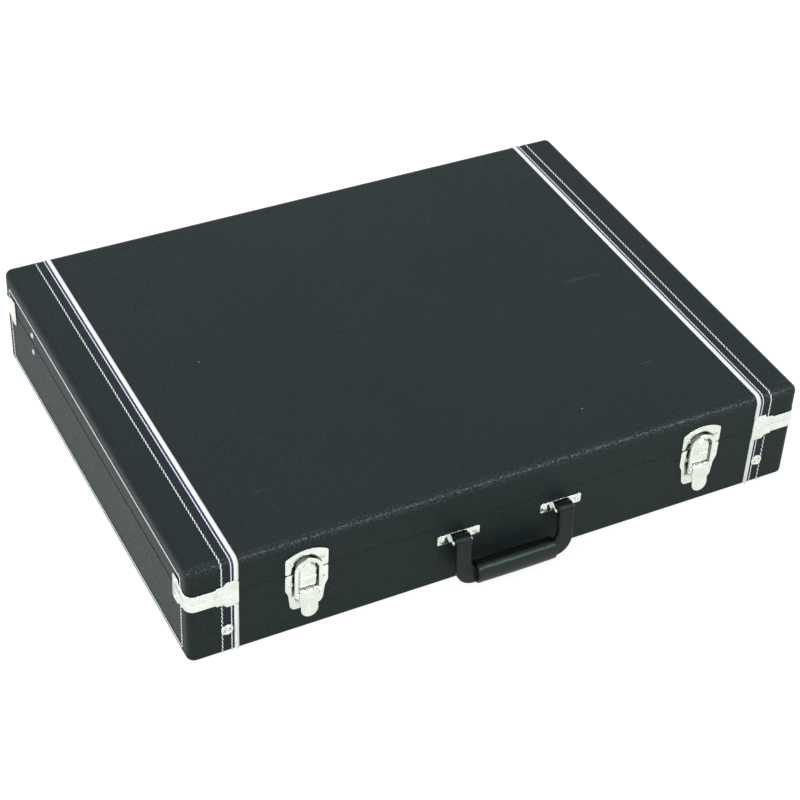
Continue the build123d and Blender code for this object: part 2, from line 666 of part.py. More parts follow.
# Screws, cup washers and feet
def make_screws():
    out = FRONT - SEAT - PLATE
    base, lid = [], []
    for x in LATCH_XS:
        for dx in (-21.5, 21.5):
            base.append(head((x + dx, out, PARTING - 16), (0, -1, 0), 3.4, 1.6))
        for dx in (-21.0, 21.0):
            lid.append(head((x + dx, out, PARTING + 16), (0, -1, 0), 3.4, 1.6))
    for x in (HANDLE_X - HANDLE_HALF, HANDLE_X + HANDLE_HALF):
        for dx in (-22.8, 22.8):
            base.append(head((x + dx, out, HANDLE_PLATE_Z), (0, -1, 0), 3.0, 1.4))
    back = BACK + SEAT + PLATE
    for x in HINGE_XS:
        for dx in (-HINGE_W / 3, HINGE_W / 3):
            low, high = PARTING - LEAF_H + 8, PARTING + LEAF_H - 8
            base.append(head((x + dx, back, low), (0, 1, 0), 3.0, 1.2))
            lid.append(head((x + dx, back, high), (0, 1, 0), 3.0, 1.2))
    save("screws_base", *base)
    save("screws_lid", *lid)


def cup_washer(x, z):
    ring = extrude(front_plane(x, SEAT) * (Pos(0, z) * Circle(8.0)), amount=3.0)
    ring = chamfer(ring.faces().sort_by(Axis.Y)[0].edges(), 2.0)
    return ring - rod((x, FRONT - 6, z), (0, 1, 0), 3.6, 8)


def make_cups():
    z = CUP_Z
    washers, screws = [], []
    for side in (-1, 1):
        x = side * (END - CUP_INSET)
        washers.append(cup_washer(x, z))
        screws.append(head((x, FRONT - SEAT, z), (0, -1, 0), 3.4, 3.2))
    save("cup_washers", *washers)
    save("cup_screws", *screws)


def foot(x, z):
    stub = extrude(back_plane(x, SEAT) * (Pos(0, z) * Circle(FOOT_R)), amount=FOOT_H)
    return chamfer(stub.faces().sort_by(Axis.Y)[-1].edges(), 2.2)


def make_feet():
    x = END - FOOT_INSET
    low, high = FOOT_EDGE, HEIGHT - FOOT_EDGE
    save("feet_base", foot(-x, low), foot(x, low))
    save("feet_lid", foot(-x, high), foot(x, high))


# Lid stays: two equal links per side that fold forward of the hinge
def stay_points():
    """Base pivot, lid pivot and knee in the closed position."""
    base = (STAY_Y, PARTING - STAY_HALF)
    lid = (STAY_Y, PARTING + STAY_HALF)
    knee = (2 * STAY_Y - AXIS_Y, PARTING)
    return base, lid, knee


def link(side, x_out, p, q):
    """Flat link with round ends between two points given as (y, z)."""
    dy, dz = q[0] - p[0], q[1] - p[1]
    length = (dy * dy + dz * dz) ** 0.5
    middle = ((p[0] + q[0]) / 2, (p[1] + q[1]) / 2)
    plane = Plane(origin=(side * x_out, middle[0], middle[1]), x_dir=(0, dy, dz), z_dir=(1, 0, 0))
    flat = SlotCenterToCenter(length, STAY_W)
    return extrude(plane * flat, amount=-side * STAY_T)


def make_stays():
    a, b, k = stay_points()
    wall = IN_X - LINING - 0.5
    low_x = wall - 0.6
    high_x = low_x - STAY_T - 0.4
    inner_x = high_x - STAY_T - 0.4
    base_rivets, lid_rivets = [], []
    for side, tag in ((-1, "left"), (1, "right")):
        lower = link(side, low_x, a, k)
        lower = lower - rod((side * (low_x + 2), a[0], a[1]), (-side, 0, 0), STAY_PIN_R + RUN, 8)
        knee_start = (side * (low_x - 0.5), k[0], k[1])
        lower = lower + rod(knee_start, (-side, 0, 0), 2.6, low_x - 0.5 - inner_x)
        lower = lower + head((side * inner_x, k[0], k[1]), (-side, 0, 0), 4.8, 1.4)
        upper = link(side, high_x, b, k)
        upper = upper - rod((side * (high_x + 1), k[0], k[1]), (-side, 0, 0), 2.6 + 0.35, 6)
        upper = upper - rod((side * (high_x + 1), b[0], b[1]), (-side, 0, 0), STAY_PIN_R + RUN, 6)
        save(f"stay_lower_{tag}", lower)
        save(f"stay_upper_{tag}", upper)
        base_rivets.append(stay_rivet(side, a, low_x))
        lid_rivets.append(stay_rivet(side, b, high_x))
    save("stay_rivets_base", *base_rivets)
    save("stay_rivets_lid", *lid_rivets)


def stay_rivet(side, point, link_x):
    """Rivet with outside head, collar behind the link and inner head."""
    y, z = point
    out = END - PANEL_STEP
    length = out - (link_x - STAY_T - 0.3)
    item = head((side * out, y, z), (side, 0, 0), 4.6, 1.8)
    item = item + rod((side * out, y, z), (-side, 0, 0), STAY_PIN_R, length)
    collar = link_x + 0.3
    seat = Plane(origin=(side * (IN_X - 0.1), y, z), z_dir=(-side, 0, 0))
    item = item + extrude(seat * RegularPolygon(6.6, 12), amount=IN_X - 0.1 - collar)
    return item + head((side * (link_x - STAY_T - 0.3), y, z), (-side, 0, 0), 5.0, 1.2)


make_base_wood()
make_lid_wood()
save("base_bottom_sheet", under_sheet(0.0))
make_skin("base", BASE_ZONE, SEAM_BOTTOM, BASE_TOP + 5)
make_skin("lid", LID_ZONE, LID_BOTTOM - 5, HEIGHT - SEAM_TOP)
make_piping("base", BASE_ZONE)
make_piping("lid", LID_ZONE)
make_lip()
make_linings()
make_body_rests()
make_neck_rest()
make_latches()
make_handle()
make_brackets()
make_hinges()
make_screws()
make_cups()
make_feet()
make_stays()
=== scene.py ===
import math

import bmesh
import bpy
from mathutils import Matrix, Vector, noise


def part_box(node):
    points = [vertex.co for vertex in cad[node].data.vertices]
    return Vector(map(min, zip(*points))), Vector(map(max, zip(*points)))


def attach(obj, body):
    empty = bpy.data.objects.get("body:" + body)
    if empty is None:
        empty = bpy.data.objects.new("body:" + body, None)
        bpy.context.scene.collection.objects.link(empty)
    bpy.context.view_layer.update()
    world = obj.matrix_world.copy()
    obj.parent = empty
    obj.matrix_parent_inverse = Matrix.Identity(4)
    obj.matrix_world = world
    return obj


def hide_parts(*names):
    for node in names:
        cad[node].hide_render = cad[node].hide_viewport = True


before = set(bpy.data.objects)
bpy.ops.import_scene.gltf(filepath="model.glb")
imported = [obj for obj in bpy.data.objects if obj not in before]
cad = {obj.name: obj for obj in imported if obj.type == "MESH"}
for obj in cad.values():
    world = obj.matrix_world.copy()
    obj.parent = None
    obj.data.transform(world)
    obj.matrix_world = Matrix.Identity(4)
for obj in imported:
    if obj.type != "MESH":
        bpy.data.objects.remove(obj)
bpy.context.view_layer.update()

# ---------------------------------------------------------------- the studio
# A product table: a pale floor that runs out to plain white, four soft boxes
# and a long lens that looks down on the front left corner of the case.
scene = bpy.context.scene
scene.view_settings.view_transform = "Standard"

lens = bpy.data.cameras.new("camera")
lens.lens = 94.0
lens.sensor_width = 36.0
lens.clip_start = 0.05
lens.clip_end = 60.0
camera = bpy.data.objects.new("camera", lens)
look = Vector((0.3703, 0.6812, -0.6315)).normalized()
camera_right = Vector((0.8930, -0.4484, 0.0399))
camera_up = camera_right.cross(look).normalized()
camera_right = look.cross(camera_up).normalized()
turn = Matrix((camera_right, camera_up, -look)).transposed().to_4x4()
camera.matrix_world = Matrix.Translation((-1.0499, -1.9648, 1.8341)) @ turn
scene.collection.objects.link(camera)
scene.camera = camera


def wire(tree, *pairs):
    """Joins output sockets to input sockets."""
    for a, b in pairs:
        tree.links.new(a, b)


def give(node, **settings):
    """Sets properties and inputs of a node by name; a socket is joined on."""
    for key, value in settings.items():
        if hasattr(node, key):
            setattr(node, key, value)
        elif isinstance(value, bpy.types.NodeSocket):
            node.id_data.links.new(value, node.inputs[key.replace("_", " ")])
        else:
            node.inputs[key.replace("_", " ")].default_value = value
    return node


def add(tree, kind, **settings):
    """Adds a shader or geometry node with its properties and inputs."""
    return give(tree.nodes.new(kind), **settings)


def math_node(tree, operation, a, b=None, c=None, clamp=False):
    """One Math node; a, b and c are sockets or numbers."""
    node = add(tree, "ShaderNodeMath", operation=operation)
    node.use_clamp = clamp
    for slot, value in enumerate((a, b, c)):
        if isinstance(value, bpy.types.NodeSocket):
            wire(tree, (value, node.inputs[slot]))
        elif value is not None:
            node.inputs[slot].default_value = value
    return node.outputs[0]


def times(tree, a, b):
    """Product of two sockets or numbers."""
    return math_node(tree, "MULTIPLY", a, b)


def seen_rays(tree):
    """1 for camera, mirror and glass rays, which see plain white."""
    path = add(tree, "ShaderNodeLightPath").outputs
    first = math_node(tree, "MAXIMUM", path["Is Camera Ray"], path["Is Glossy Ray"])
    return math_node(tree, "MAXIMUM", first, path["Is Transmission Ray"])


table = bpy.data.meshes.new("table")
table_half, table_z = 14, -0.0003
corners = [(table_half * x, table_half * y, table_z) for x, y in ((-1, -1), (1, -1), (1, 1), (-1, 1))]
table.from_pydata(corners, [], [(0, 1, 2, 3)])
floor = bpy.data.objects.new("floor", table)
scene.collection.objects.link(floor)
paper = bpy.data.materials.new("pale_floor")
paper.use_nodes = True
tree = paper.node_tree
tree.nodes.clear()
matt = add(tree, "ShaderNodeBsdfDiffuse", Color=(0.70, 0.70, 0.61, 1))
faint = add(tree, "ShaderNodeBsdfDiffuse", Color=(0.34, 0.34, 0.34, 1))
glow = add(tree, "ShaderNodeEmission", Color=(1, 1, 1, 1), Strength=0.86)
both = add(tree, "ShaderNodeAddShader")
pick = add(tree, "ShaderNodeMixShader")
out = add(tree, "ShaderNodeOutputMaterial")
wire(tree, (faint.outputs[0], both.inputs[0]), (glow.outputs[0], both.inputs[1]))
wire(tree, (seen_rays(tree), pick.inputs[0]), (matt.outputs[0], pick.inputs[1]))
wire(tree, (both.outputs[0], pick.inputs[2]), (pick.outputs[0], out.inputs[0]))
table.materials.append(paper)

world = bpy.data.worlds.new("white_room")
scene.world = world
world.use_nodes = True
tree = world.node_tree
tree.nodes.clear()
room = add(tree, "ShaderNodeBackground", Color=(0.98, 1.0, 0.94, 1), Strength=0.65)
white = add(tree, "ShaderNodeBackground", Color=(1, 1, 1, 1), Strength=1.0)
pick = add(tree, "ShaderNodeMixShader")
out = add(tree, "ShaderNodeOutputWorld")
wire(tree, (seen_rays(tree), pick.inputs[0]), (room.outputs[0], pick.inputs[1]))
wire(tree, (white.outputs[0], pick.inputs[2]), (pick.outputs[0], out.inputs[0]))


def soft_box(name, place, aim, width, height, watts, tone=(1, 1, 1)):
    """A rectangular studio light that points at a spot."""
    data = bpy.data.lights.new(name, "AREA")
    data.shape = "RECTANGLE"
    data.size = width
    data.size_y = height
    data.energy = watts
    data.color = tone
    lamp = bpy.data.objects.new(name, data)
    facing = (Vector(aim) - Vector(place)).to_track_quat("-Z", "Y")
    lamp.matrix_world = Matrix.Translation(place) @ facing.to_matrix().to_4x4()
    scene.collection.objects.link(lamp)
    return lamp


soft_box("soft_box_over", (-0.6, 0.9, 2.6), (0, 0, 0), 2.4, 1.6, 23, (0.92, 1.0, 1.08))
soft_box("soft_box_side", (-2.7, -0.9, 1.0), (0, 0, 0.05), 1.2, 1.0, 23, (0.84, 1.0, 1.03))
edge_strip = soft_box("soft_box_edge", (0.82, -1.73, 1.65), (0, -0.33, 0.14), 1.9, 0.26, 27, (0.72, 1.0, 1.0))
edge_strip.visible_diffuse = False
front_fill = soft_box("soft_box_fill", (-0.9, -3.0, 0.9), (0, -0.33, 0.08), 1.6, 1.0, 14, (1.0, 0.97, 0.88))
front_fill.visible_glossy = False

# ------------------------------------------------------------- leatherette
# The boards are wrapped in black PVC leatherette with a fine pebble grain.
# Grain, scuffs and lint are effects that other coverings share.


def group(name, outputs, **inputs):
    """Empty shader group with a Vector, named numbers in and named numbers out."""
    tree = bpy.data.node_groups.new(name, "ShaderNodeTree")
    tree.interface.new_socket("Vector", in_out="INPUT", socket_type="NodeSocketVector")
    for key, value in inputs.items():
        socket = tree.interface.new_socket(key.replace("_", " "), in_out="INPUT", socket_type="NodeSocketFloat")
        socket.default_value = value
    for label in outputs:
        tree.interface.new_socket(label, in_out="OUTPUT", socket_type="NodeSocketFloat")
    return tree, add(tree, "NodeGroupInput"), add(tree, "NodeGroupOutput")


def use(tree, shared, vector, **values):
    """Places a shared effect in a material."""
    return add(tree, "ShaderNodeGroup", node_tree=shared, Vector=vector, **values)


def ramp(tree, source, low, high, start=0.0, end=1.0):
    """Smooth step of a value between two limits."""
    node = add(tree, "ShaderNodeMapRange", interpolation_type="SMOOTHSTEP", Value=source)
    return give(node, From_Min=low, From_Max=high, To_Min=start, To_Max=end).outputs["Result"]


def noise_at(tree, place, **settings):
    """Noise texture read at a place; returns its node."""
    return add(tree, "ShaderNodeTexNoise", Vector=place, **settings)


def axes_of(tree, place):
    """X, Y and Z of a place as sockets."""
    return add(tree, "ShaderNodeSeparateXYZ", Vector=place).outputs


def pulled(tree, place, scale, turn=(0.0, 0.0, 0.0)):
    """A place scaled and turned, so that a pattern is drawn out along it."""
    return add(tree, "ShaderNodeMapping", vector_type="POINT", Vector=place, Rotation=turn, Scale=scale).outputs[0]


pebble, gin, gout = group("pebble_grain", ("Height", "Shade"), Grain_Size=0.0012, Softness=0.5)
scale = math_node(pebble, "DIVIDE", 1.0, gin.outputs["Grain Size"])
coarse = times(pebble, scale, 0.6)
warp = noise_at(pebble, gin.outputs["Vector"], Scale=coarse, Detail=2.0, Roughness=0.5)
sideways = times(pebble, gin.outputs["Grain Size"], 0.9)
push = add(pebble, "ShaderNodeVectorMath", operation="SCALE", Scale=sideways)
shift = add(pebble, "ShaderNodeVectorMath", operation="ADD")
wire(pebble, (warp.outputs["Color"], push.inputs[0]))
wire(pebble, (gin.outputs["Vector"], shift.inputs[0]), (push.outputs[0], shift.inputs[1]))
cells = add(pebble, "ShaderNodeTexVoronoi", feature="SMOOTH_F1", Vector=shift.outputs[0])
give(cells, Scale=scale, Smoothness=gin.outputs["Softness"])
close = times(pebble, scale, 2.6)
fine = noise_at(pebble, gin.outputs["Vector"], Scale=close, Detail=3.0, Roughness=0.6)
hill = math_node(pebble, "SUBTRACT", 1.0, times(pebble, cells.outputs["Distance"], 1.25))
dust = times(pebble, fine.outputs["Fac"], 0.3)
height = math_node(pebble, "ADD", times(pebble, hill, 0.78), dust)
give(gout, Height=height, Shade=ramp(pebble, hill, 0.25, 0.8))

handled, gin, gout = group("scuffs_and_lint", ("Scuff", "Speck", "Bloom"), Scuffs=0.3, Lint=0.3)
stretched = pulled(handled, gin.outputs["Vector"], (9.0, 95.0, 60.0), (0.0, 0.0, 0.5))
lines = noise_at(handled, stretched, Scale=1.0, Detail=4.0, Roughness=0.55, Distortion=0.4)
where = noise_at(handled, gin.outputs["Vector"], Scale=11.0, Detail=1.0)
line = ramp(handled, lines.outputs["Fac"], 0.66, 0.74)
scuff = times(handled, line, ramp(handled, where.outputs["Fac"], 0.5, 0.62))
dots = add(handled, "ShaderNodeTexVoronoi", Scale=34.0, Vector=gin.outputs["Vector"])
chance = add(handled, "ShaderNodeSeparateColor", Color=dots.outputs["Color"])
fleck = ramp(handled, dots.outputs["Distance"], 0.035, 0.02)
speck = times(handled, fleck, ramp(handled, chance.outputs[0], 0.90, 0.95))
cloud = noise_at(handled, gin.outputs["Vector"], Scale=3.2, Detail=4.0, Roughness=0.6)
scuff = times(handled, scuff, gin.outputs["Scuffs"])
speck = times(handled, speck, gin.outputs["Lint"])
give(gout, Scuff=scuff, Speck=speck, Bloom=cloud.outputs["Fac"])


def opened(made):
    """Tree, shader and Object coordinates of a material."""
    nodes = made.node_tree.nodes
    return made.node_tree, nodes["Principled BSDF"], nodes["Texture Coordinate"].outputs["Object"]


def material(name):
    """New material; returns it with its tree, shader and Object coordinates."""
    made = bpy.data.materials.new(name)
    made.use_nodes = True
    add(made.node_tree, "ShaderNodeTexCoord")
    return made, *opened(made)


def blend(tree, factor, first, second):
    """Mixes two colours by a factor; each is a socket or an RGB triple."""
    node = add(tree, "ShaderNodeMix", data_type="RGBA", Factor=factor)
    for slot, value in ((6, first), (7, second)):
        if isinstance(value, bpy.types.NodeSocket):
            wire(tree, (value, node.inputs[slot]))
        else:
            node.inputs[slot].default_value = (*value, 1)
    return node.outputs[2]


def relief(tree, shader, height, distance, strength=1.0):
    """Bump from a height in the material, distance in metres."""
    bump = add(tree, "ShaderNodeBump", Height=height, Distance=distance, Strength=strength)
    give(shader, Normal=bump.outputs[0])


back_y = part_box("lid_cover")[1].y
top_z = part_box("lid_cover")[1].z
end_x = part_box("lid_band_right")[1].x


def stretched_edge(tree, place):
    """1 where the covering is pulled tight over the upper front and back edges."""
    axes = axes_of(tree, place)
    starts, full = 0.0115, 0.0060
    deep = ramp(tree, math_node(tree, "ABSOLUTE", axes["Y"]), back_y - starts, back_y - full)
    tall = ramp(tree, axes["Z"], top_z - starts, top_z - full)
    return times(tree, deep, tall)


def leatherette(name, dark, light, grain, gloss, scuffs, lint):
    """Pebbled PVC with valleys darker than the tops, scuffs and lint. It is
    shinier where it is stretched over an edge and its grain breaks the light."""
    made, tree, shader, place = material(name)
    spark = noise_at(tree, place, Scale=520.0, Detail=1.0)
    broken = ramp(tree, spark.outputs["Fac"], 0.46, 0.60, 0.06, 1.0)
    shine = times(tree, stretched_edge(tree, place), broken)
    give(shader, Coat_Weight=times(tree, shine, 0.72), Coat_Roughness=0.36)
    give(shader, Specular_IOR_Level=0.18, Specular_Tint=(0.80, 1.0, 0.98, 1))
    skin = use(tree, pebble, place, Grain_Size=grain, Softness=0.45)
    marks = use(tree, handled, place, Scuffs=scuffs, Lint=lint)
    colour = blend(tree, skin.outputs["Shade"], dark, light)
    cloudy = ramp(tree, marks.outputs["Bloom"], 0.35, 0.7, 0.0, 0.3)
    colour = blend(tree, cloudy, colour, tuple(1.35 * v for v in light))
    colour = blend(tree, marks.outputs["Scuff"], colour, (0.13, 0.14, 0.14))
    colour = blend(tree, marks.outputs["Speck"], colour, (0.62, 0.62, 0.60))
    rough = math_node(tree, "SUBTRACT", gloss + 0.1, times(tree, skin.outputs["Shade"], 0.16))
    rough = math_node(tree, "ADD", rough, times(tree, marks.outputs["Bloom"], 0.1))
    give(shader, Base_Color=colour, Roughness=rough)
    relief(tree, shader, skin.outputs["Height"], 0.00040, 0.9)
    return made


def feeding(shader, name):
    """The socket that feeds an input of a shader."""
    return shader.inputs[name].links[0].from_socket


vinyl_main = leatherette("vinyl_main", (0.0038, 0.0078, 0.0086), (0.0105, 0.0185, 0.0200), 0.0016, 0.40, 0.15, 0.9)
# The end panels get a base colour roughly one and a half times as light as the cover's: painted sheen of the end
# faces.
vinyl_end = leatherette("vinyl_end", (0.0066, 0.0122, 0.0132), (0.0155, 0.0262, 0.0280), 0.0018, 0.40, 0.4, 0.2)
vinyl_under = leatherette("vinyl_under", (0.008, 0.009, 0.009), (0.017, 0.018, 0.018), 0.0014, 0.50, 1.0, 0.5)

# Beside the parting the end panels are painted near black, which is painted shade for the gap between lid and base,
# and they are made duller there.
parting = (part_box("lid_cover")[0].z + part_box("base_cover")[1].z) / 2
tree, shader, place = opened(vinyl_end)
give(shader, Specular_IOR_Level=0.16)
from_parting = math_node(tree, "ABSOLUTE", math_node(tree, "SUBTRACT", axes_of(tree, place)["Z"], parting))
parting_shade = ramp(tree, from_parting, 0.0016, 0.0009)
colour = blend(tree, parting_shade, feeding(shader, "Base Color"), (0.0006, 0.0008, 0.0008))
rough = math_node(tree, "MULTIPLY_ADD", parting_shade, 0.45, feeding(shader, "Roughness"), clamp=True)
give(shader, Base_Color=colour, Roughness=rough)


def dress(finish, *names):
    """Gives CAD nodes a finished material."""
    for name in names:
        mesh = cad[name].data
        mesh.materials.clear()
        mesh.materials.append(finish)


dress(vinyl_main, "base_cover", "lid_cover")
dress(vinyl_end, "base_end_panels", "lid_end_panels")
dress(vinyl_under, "base_bottom_sheet")

# ------------------------------------------------------------- end bands
# Each end has a separate band of the same leatherette, sewn down with two
# rows of white thread; the strip beside the piping has a navy cast.
vinyl_band = leatherette("vinyl_band", (0.0038, 0.0074, 0.0082), (0.0105, 0.0175, 0.0195), 0.0015, 0.42, 0.2, 0.3)
tree, shader, place = opened(vinyl_band)
across = math_node(tree, "ABSOLUTE", axes_of(tree, place)["X"])
colour = feeding(shader, "Base Color")
# Each edge of a strip fades from nothing at its first x to full at its second.
for outer_edge, inner_edge, strength, navy in (
    ((0.3880, 0.3868), (0.3735, 0.3745), 0.28, (0.015, 0.014, 0.034)),
    ((0.3752, 0.3742), (0.3694, 0.3702), 0.85, (0.036, 0.027, 0.130)),
):
    inside = times(tree, ramp(tree, across, *outer_edge), ramp(tree, across, *inner_edge))
    colour = blend(tree, times(tree, inside, strength), colour, navy)
give(shader, Base_Color=colour)
dress(vinyl_band, "base_band_left", "base_band_right", "lid_band_left", "lid_band_right")

# ---------------------------------------------------------------- piping
# A white PVC bead is caught in the joint between the cover and each band.
# It goes right round the case and is pressed flat under the brackets.
front_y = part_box("lid_cover")[0].y
top_r, low_r = 0.010, 0.004


def belt(x, half, start, lift, steps=7):
    """Points round the lid or the base at one x, lifted off the vinyl, from a
    height on the front to the same height on the back."""
    sign = 1 if half == "lid" else -1
    y = back_y + lift
    r = (top_r if half == "lid" else low_r) + lift
    z = (top_z + lift - r) if half == "lid" else (r - lift)
    front = [(x, -y, start)]
    for i in range(steps + 1):
        a = math.pi / 2 * i / steps
        front.append((x, -y + r - r * math.cos(a), z + sign * r * math.sin(a)))
    return front + [(x, -at_y, at_z) for x, at_y, at_z in reversed(front)]


def path_object(name, runs):
    """Curve object of open straight-sided runs."""
    data = bpy.data.curves.new(name, "CURVE")
    data.dimensions = "3D"
    for run in runs:
        spline = data.splines.new("POLY")
        spline.points.add(len(run) - 1)
        for point, place in zip(spline.points, run):
            point.co = (*place, 1)
    made = bpy.data.objects.new(name, data)
    scene.collection.objects.link(made)
    return made


def tree_for(name, **inputs):
    """Empty geometry tree with named inputs. A text in place of a value is the
    kind of an input that has no value of its own."""
    kinds = {float: "Float", int: "Int", tuple: "Vector"}
    tree = bpy.data.node_groups.new(name, "GeometryNodeTree")
    tree.interface.new_socket("Geometry", in_out="INPUT", socket_type="NodeSocketGeometry")
    for key, value in inputs.items():
        kind = kinds.get(type(value), value)
        socket = tree.interface.new_socket(key.replace("_", " "), in_out="INPUT", socket_type=f"NodeSocket{kind}")
        if kind != value:
            socket.default_value = value
    tree.interface.new_socket("Geometry", in_out="OUTPUT", socket_type="NodeSocketGeometry")
    return tree, add(tree, "NodeGroupInput"), add(tree, "NodeGroupOutput")


def grow(tree, source, name, body, **values):
    """Runs a geometry tree on a source object and keeps a plain mesh of it."""
    modifier = source.modifiers.new("grow", "NODES")
    modifier.node_group = tree
    for item in tree.interface.items_tree:
        key = item.name.replace(" ", "_")
        if item.in_out == "INPUT" and key in values:
            modifier[item.identifier] = values[key]
    bpy.context.view_layer.update()
    seen = source.evaluated_get(bpy.context.evaluated_depsgraph_get())
    mesh = bpy.data.meshes.new_from_object(seen)
    mesh.name = name
    bpy.data.objects.remove(source)
    made = bpy.data.objects.new(name, mesh)
    scene.collection.objects.link(made)
    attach(made, body)
    return made


def finish_tree(tree, source, gin, gout):
    """Ends a geometry tree: real geometry, smooth, in the given material."""
    real = add(tree, "GeometryNodeRealizeInstances", Geometry=source)
    soft = add(tree, "GeometryNodeSetShadeSmooth", Geometry=real.outputs[0])
    paint = add(tree, "GeometryNodeSetMaterial", Geometry=soft.outputs[0], Material=gin.outputs["Material"])
    give(gout, Geometry=paint.outputs[0])


bead, gin, gout = tree_for("piping_bead", Width=0.006, Height=0.0022, Material="Material")
along = add(bead, "GeometryNodeInputTangent")
outward = add(bead, "ShaderNodeVectorMath", operation="CROSS_PRODUCT")
outward.inputs[1].default_value = (1, 0, 0)
wire(bead, (along.outputs[0], outward.inputs[0]))
facing = add(bead, "GeometryNodeSetCurveNormal", mode="FREE")
give(facing, Curve=gin.outputs["Geometry"], Normal=outward.outputs[0])
ring = add(bead, "GeometryNodeCurvePrimitiveCircle", Resolution=18, Radius=1.0)
half_wide = times(bead, gin.outputs["Width"], 0.5)
size = add(bead, "ShaderNodeCombineXYZ", X=gin.outputs["Height"], Y=half_wide)
squeeze = add(bead, "GeometryNodeTransform", Geometry=ring.outputs["Curve"], Scale=size.outputs[0])
spot = add(bead, "GeometryNodeInputPosition")
floor_of = add(bead, "ShaderNodeVectorMath", operation="MAXIMUM")
floor_of.inputs[1].default_value = (-0.0010, -1, -1)
wire(bead, (spot.outputs[0], floor_of.inputs[0]))
flat_back = add(bead, "GeometryNodeSetPosition", Geometry=squeeze.outputs[0], Position=floor_of.outputs[0])
sweep = add(bead, "GeometryNodeCurveToMesh", Curve=facing.outputs[0], Fill_Caps=True)
give(sweep, Profile_Curve=flat_back.outputs[0])
finish_tree(bead, sweep.outputs[0], gin, gout)

piping_white, tree, shader, place = material("piping_white")
rub = use(tree, handled, place, Scuffs=0.7, Lint=0.0)
soil = noise_at(tree, place, Scale=26.0, Detail=5.0, Roughness=0.65)
colour = blend(tree, ramp(tree, soil.outputs["Fac"], 0.42, 0.72), (0.96, 0.96, 0.98), (0.88, 0.88, 0.91))
colour = blend(tree, rub.outputs["Scuff"], colour, (0.35, 0.35, 0.37))
give(shader, Base_Color=colour, Roughness=ramp(tree, soil.outputs["Fac"], 0.3, 0.7, 0.24, 0.4))
relief(tree, shader, soil.outputs["Fac"], 0.0001, 0.5)

bead_x, slit = end_x - 0.062, 0.0002
bracket_reach, overlap, flat = 0.0200, 0.002, 0.0004
for half, sign in (("lid", 1), ("base", -1)):
    for side, tag in ((-1, "left"), (1, "right")):
        x = side * bead_x
        crest = belt(x, half, parting + sign * bracket_reach, 0.0)
        crests = [crest[::-1]] if half == "lid" else [crest[:4], crest[-4:]]
        made = grow(bead, path_object("run", crests), f"piping_{half}_{tag}", half, Material=piping_white)
        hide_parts(f"{half}_piping_{tag}")
        low, high = sorted((parting + sign * slit, parting + sign * (bracket_reach + overlap)))
        front, back = front_y + flat, back_y - flat
        legs = [[(x, front, high), (x, front, low)], [(x, back, low), (x, back, high)]]
        name = f"piping_pressed_{half}_{tag}"
        under = grow(bead, path_object("run", legs), name, half, Height=flat, Material=piping_white)

# -------------------------------------------------------------- stitching
# Two rows of heavy white thread run round each band, and one row closes the
# seam of each end panel. Every stitch is a short slanted loop of thread.


def shape_of(work, name):
    """Mesh object of a working mesh, not in the scene yet."""
    mesh = bpy.data.meshes.new(name)
    work.to_mesh(mesh)
    work.free()
    return bpy.data.objects.new(name, mesh)


def set_out(tree, gin, gout, points, facing, lean, scale):
    """Sets the given shape on points, faced one way and then leaned by Euler
    angles, and ends the tree."""
    angle = add(tree, "FunctionNodeEulerToRotation", Euler=lean)
    leaned = add(tree, "FunctionNodeRotateRotation", rotation_space="LOCAL", Rotation=facing)
    give(leaned, Rotate_By=angle.outputs[0])
    shape = add(tree, "GeometryNodeObjectInfo", Object=gin.outputs["Shape"])
    placed = add(tree, "GeometryNodeInstanceOnPoints", Points=points, Instance=shape.outputs["Geometry"])
    give(placed, Rotation=leaned.outputs[0], Scale=scale)
    finish_tree(tree, placed.outputs[0], gin, gout)


work = bmesh.new()
bmesh.ops.create_uvsphere(work, u_segments=6, v_segments=5, radius=1.0)
for vert in work.verts:
    vert.co = Vector((math.copysign(abs(vert.co.z) ** 0.7, vert.co.z), vert.co.x, vert.co.y))
stitch = shape_of(work, "stitch_shape")

sewing, gin, gout = tree_for(
    "sewing", Stitch_Length=0.0060, Thread=0.0016, Slant=0.27, Seam_Slant=0.0,
    Across=(1, 0, 0), Shape="Object", Seed=3, Material="Material",
)
spaced = add(sewing, "GeometryNodeResampleCurve", mode="LENGTH")
give(spaced, Curve=gin.outputs["Geometry"], Length=gin.outputs["Stitch Length"])
tangent = add(sewing, "GeometryNodeInputTangent")
first = add(sewing, "FunctionNodeAlignRotationToVector", axis="X", Vector=tangent.outputs[0])
second = add(sewing, "FunctionNodeAlignRotationToVector", axis="Y", pivot_axis="X")
give(second, Rotation=first.outputs[0], Vector=gin.outputs["Across"])
loose = add(sewing, "FunctionNodeRandomValue", data_type="FLOAT", Seed=gin.outputs["Seed"])
loose.inputs[2].default_value, loose.inputs[3].default_value = -0.07, 0.07
slant = math_node(sewing, "ADD", gin.outputs["Slant"], loose.outputs[1])
lean = add(sewing, "ShaderNodeCombineXYZ", Y=gin.outputs["Seam Slant"], Z=slant)
half_thread = times(sewing, gin.outputs["Thread"], 0.5)
half_stitch = times(sewing, gin.outputs["Stitch Length"], 0.58)
thick = add(sewing, "ShaderNodeCombineXYZ", X=half_stitch, Y=half_thread, Z=half_thread)
set_out(sewing, gin, gout, spaced.outputs[0], second.outputs[0], lean.outputs[0], thick.outputs[0])

thread_white, tree, shader, place = material("thread_white")
twist = noise_at(tree, place, Scale=2600.0, Detail=2.0)
colour = blend(tree, ramp(tree, twist.outputs["Fac"], 0.35, 0.65), (0.84, 0.85, 0.88), (0.95, 0.95, 0.96))
give(shader, Base_Color=colour, Roughness=0.75)
relief(tree, shader, twist.outputs["Fac"], 0.0002, 0.7)


def sew(name, half, rows, **values):
    """Runs thread along open rows on the lid or the base."""
    source = path_object("rows", rows)
    sewn = grow(sewing, source, name, half, Shape=stitch, Material=thread_white, **values)


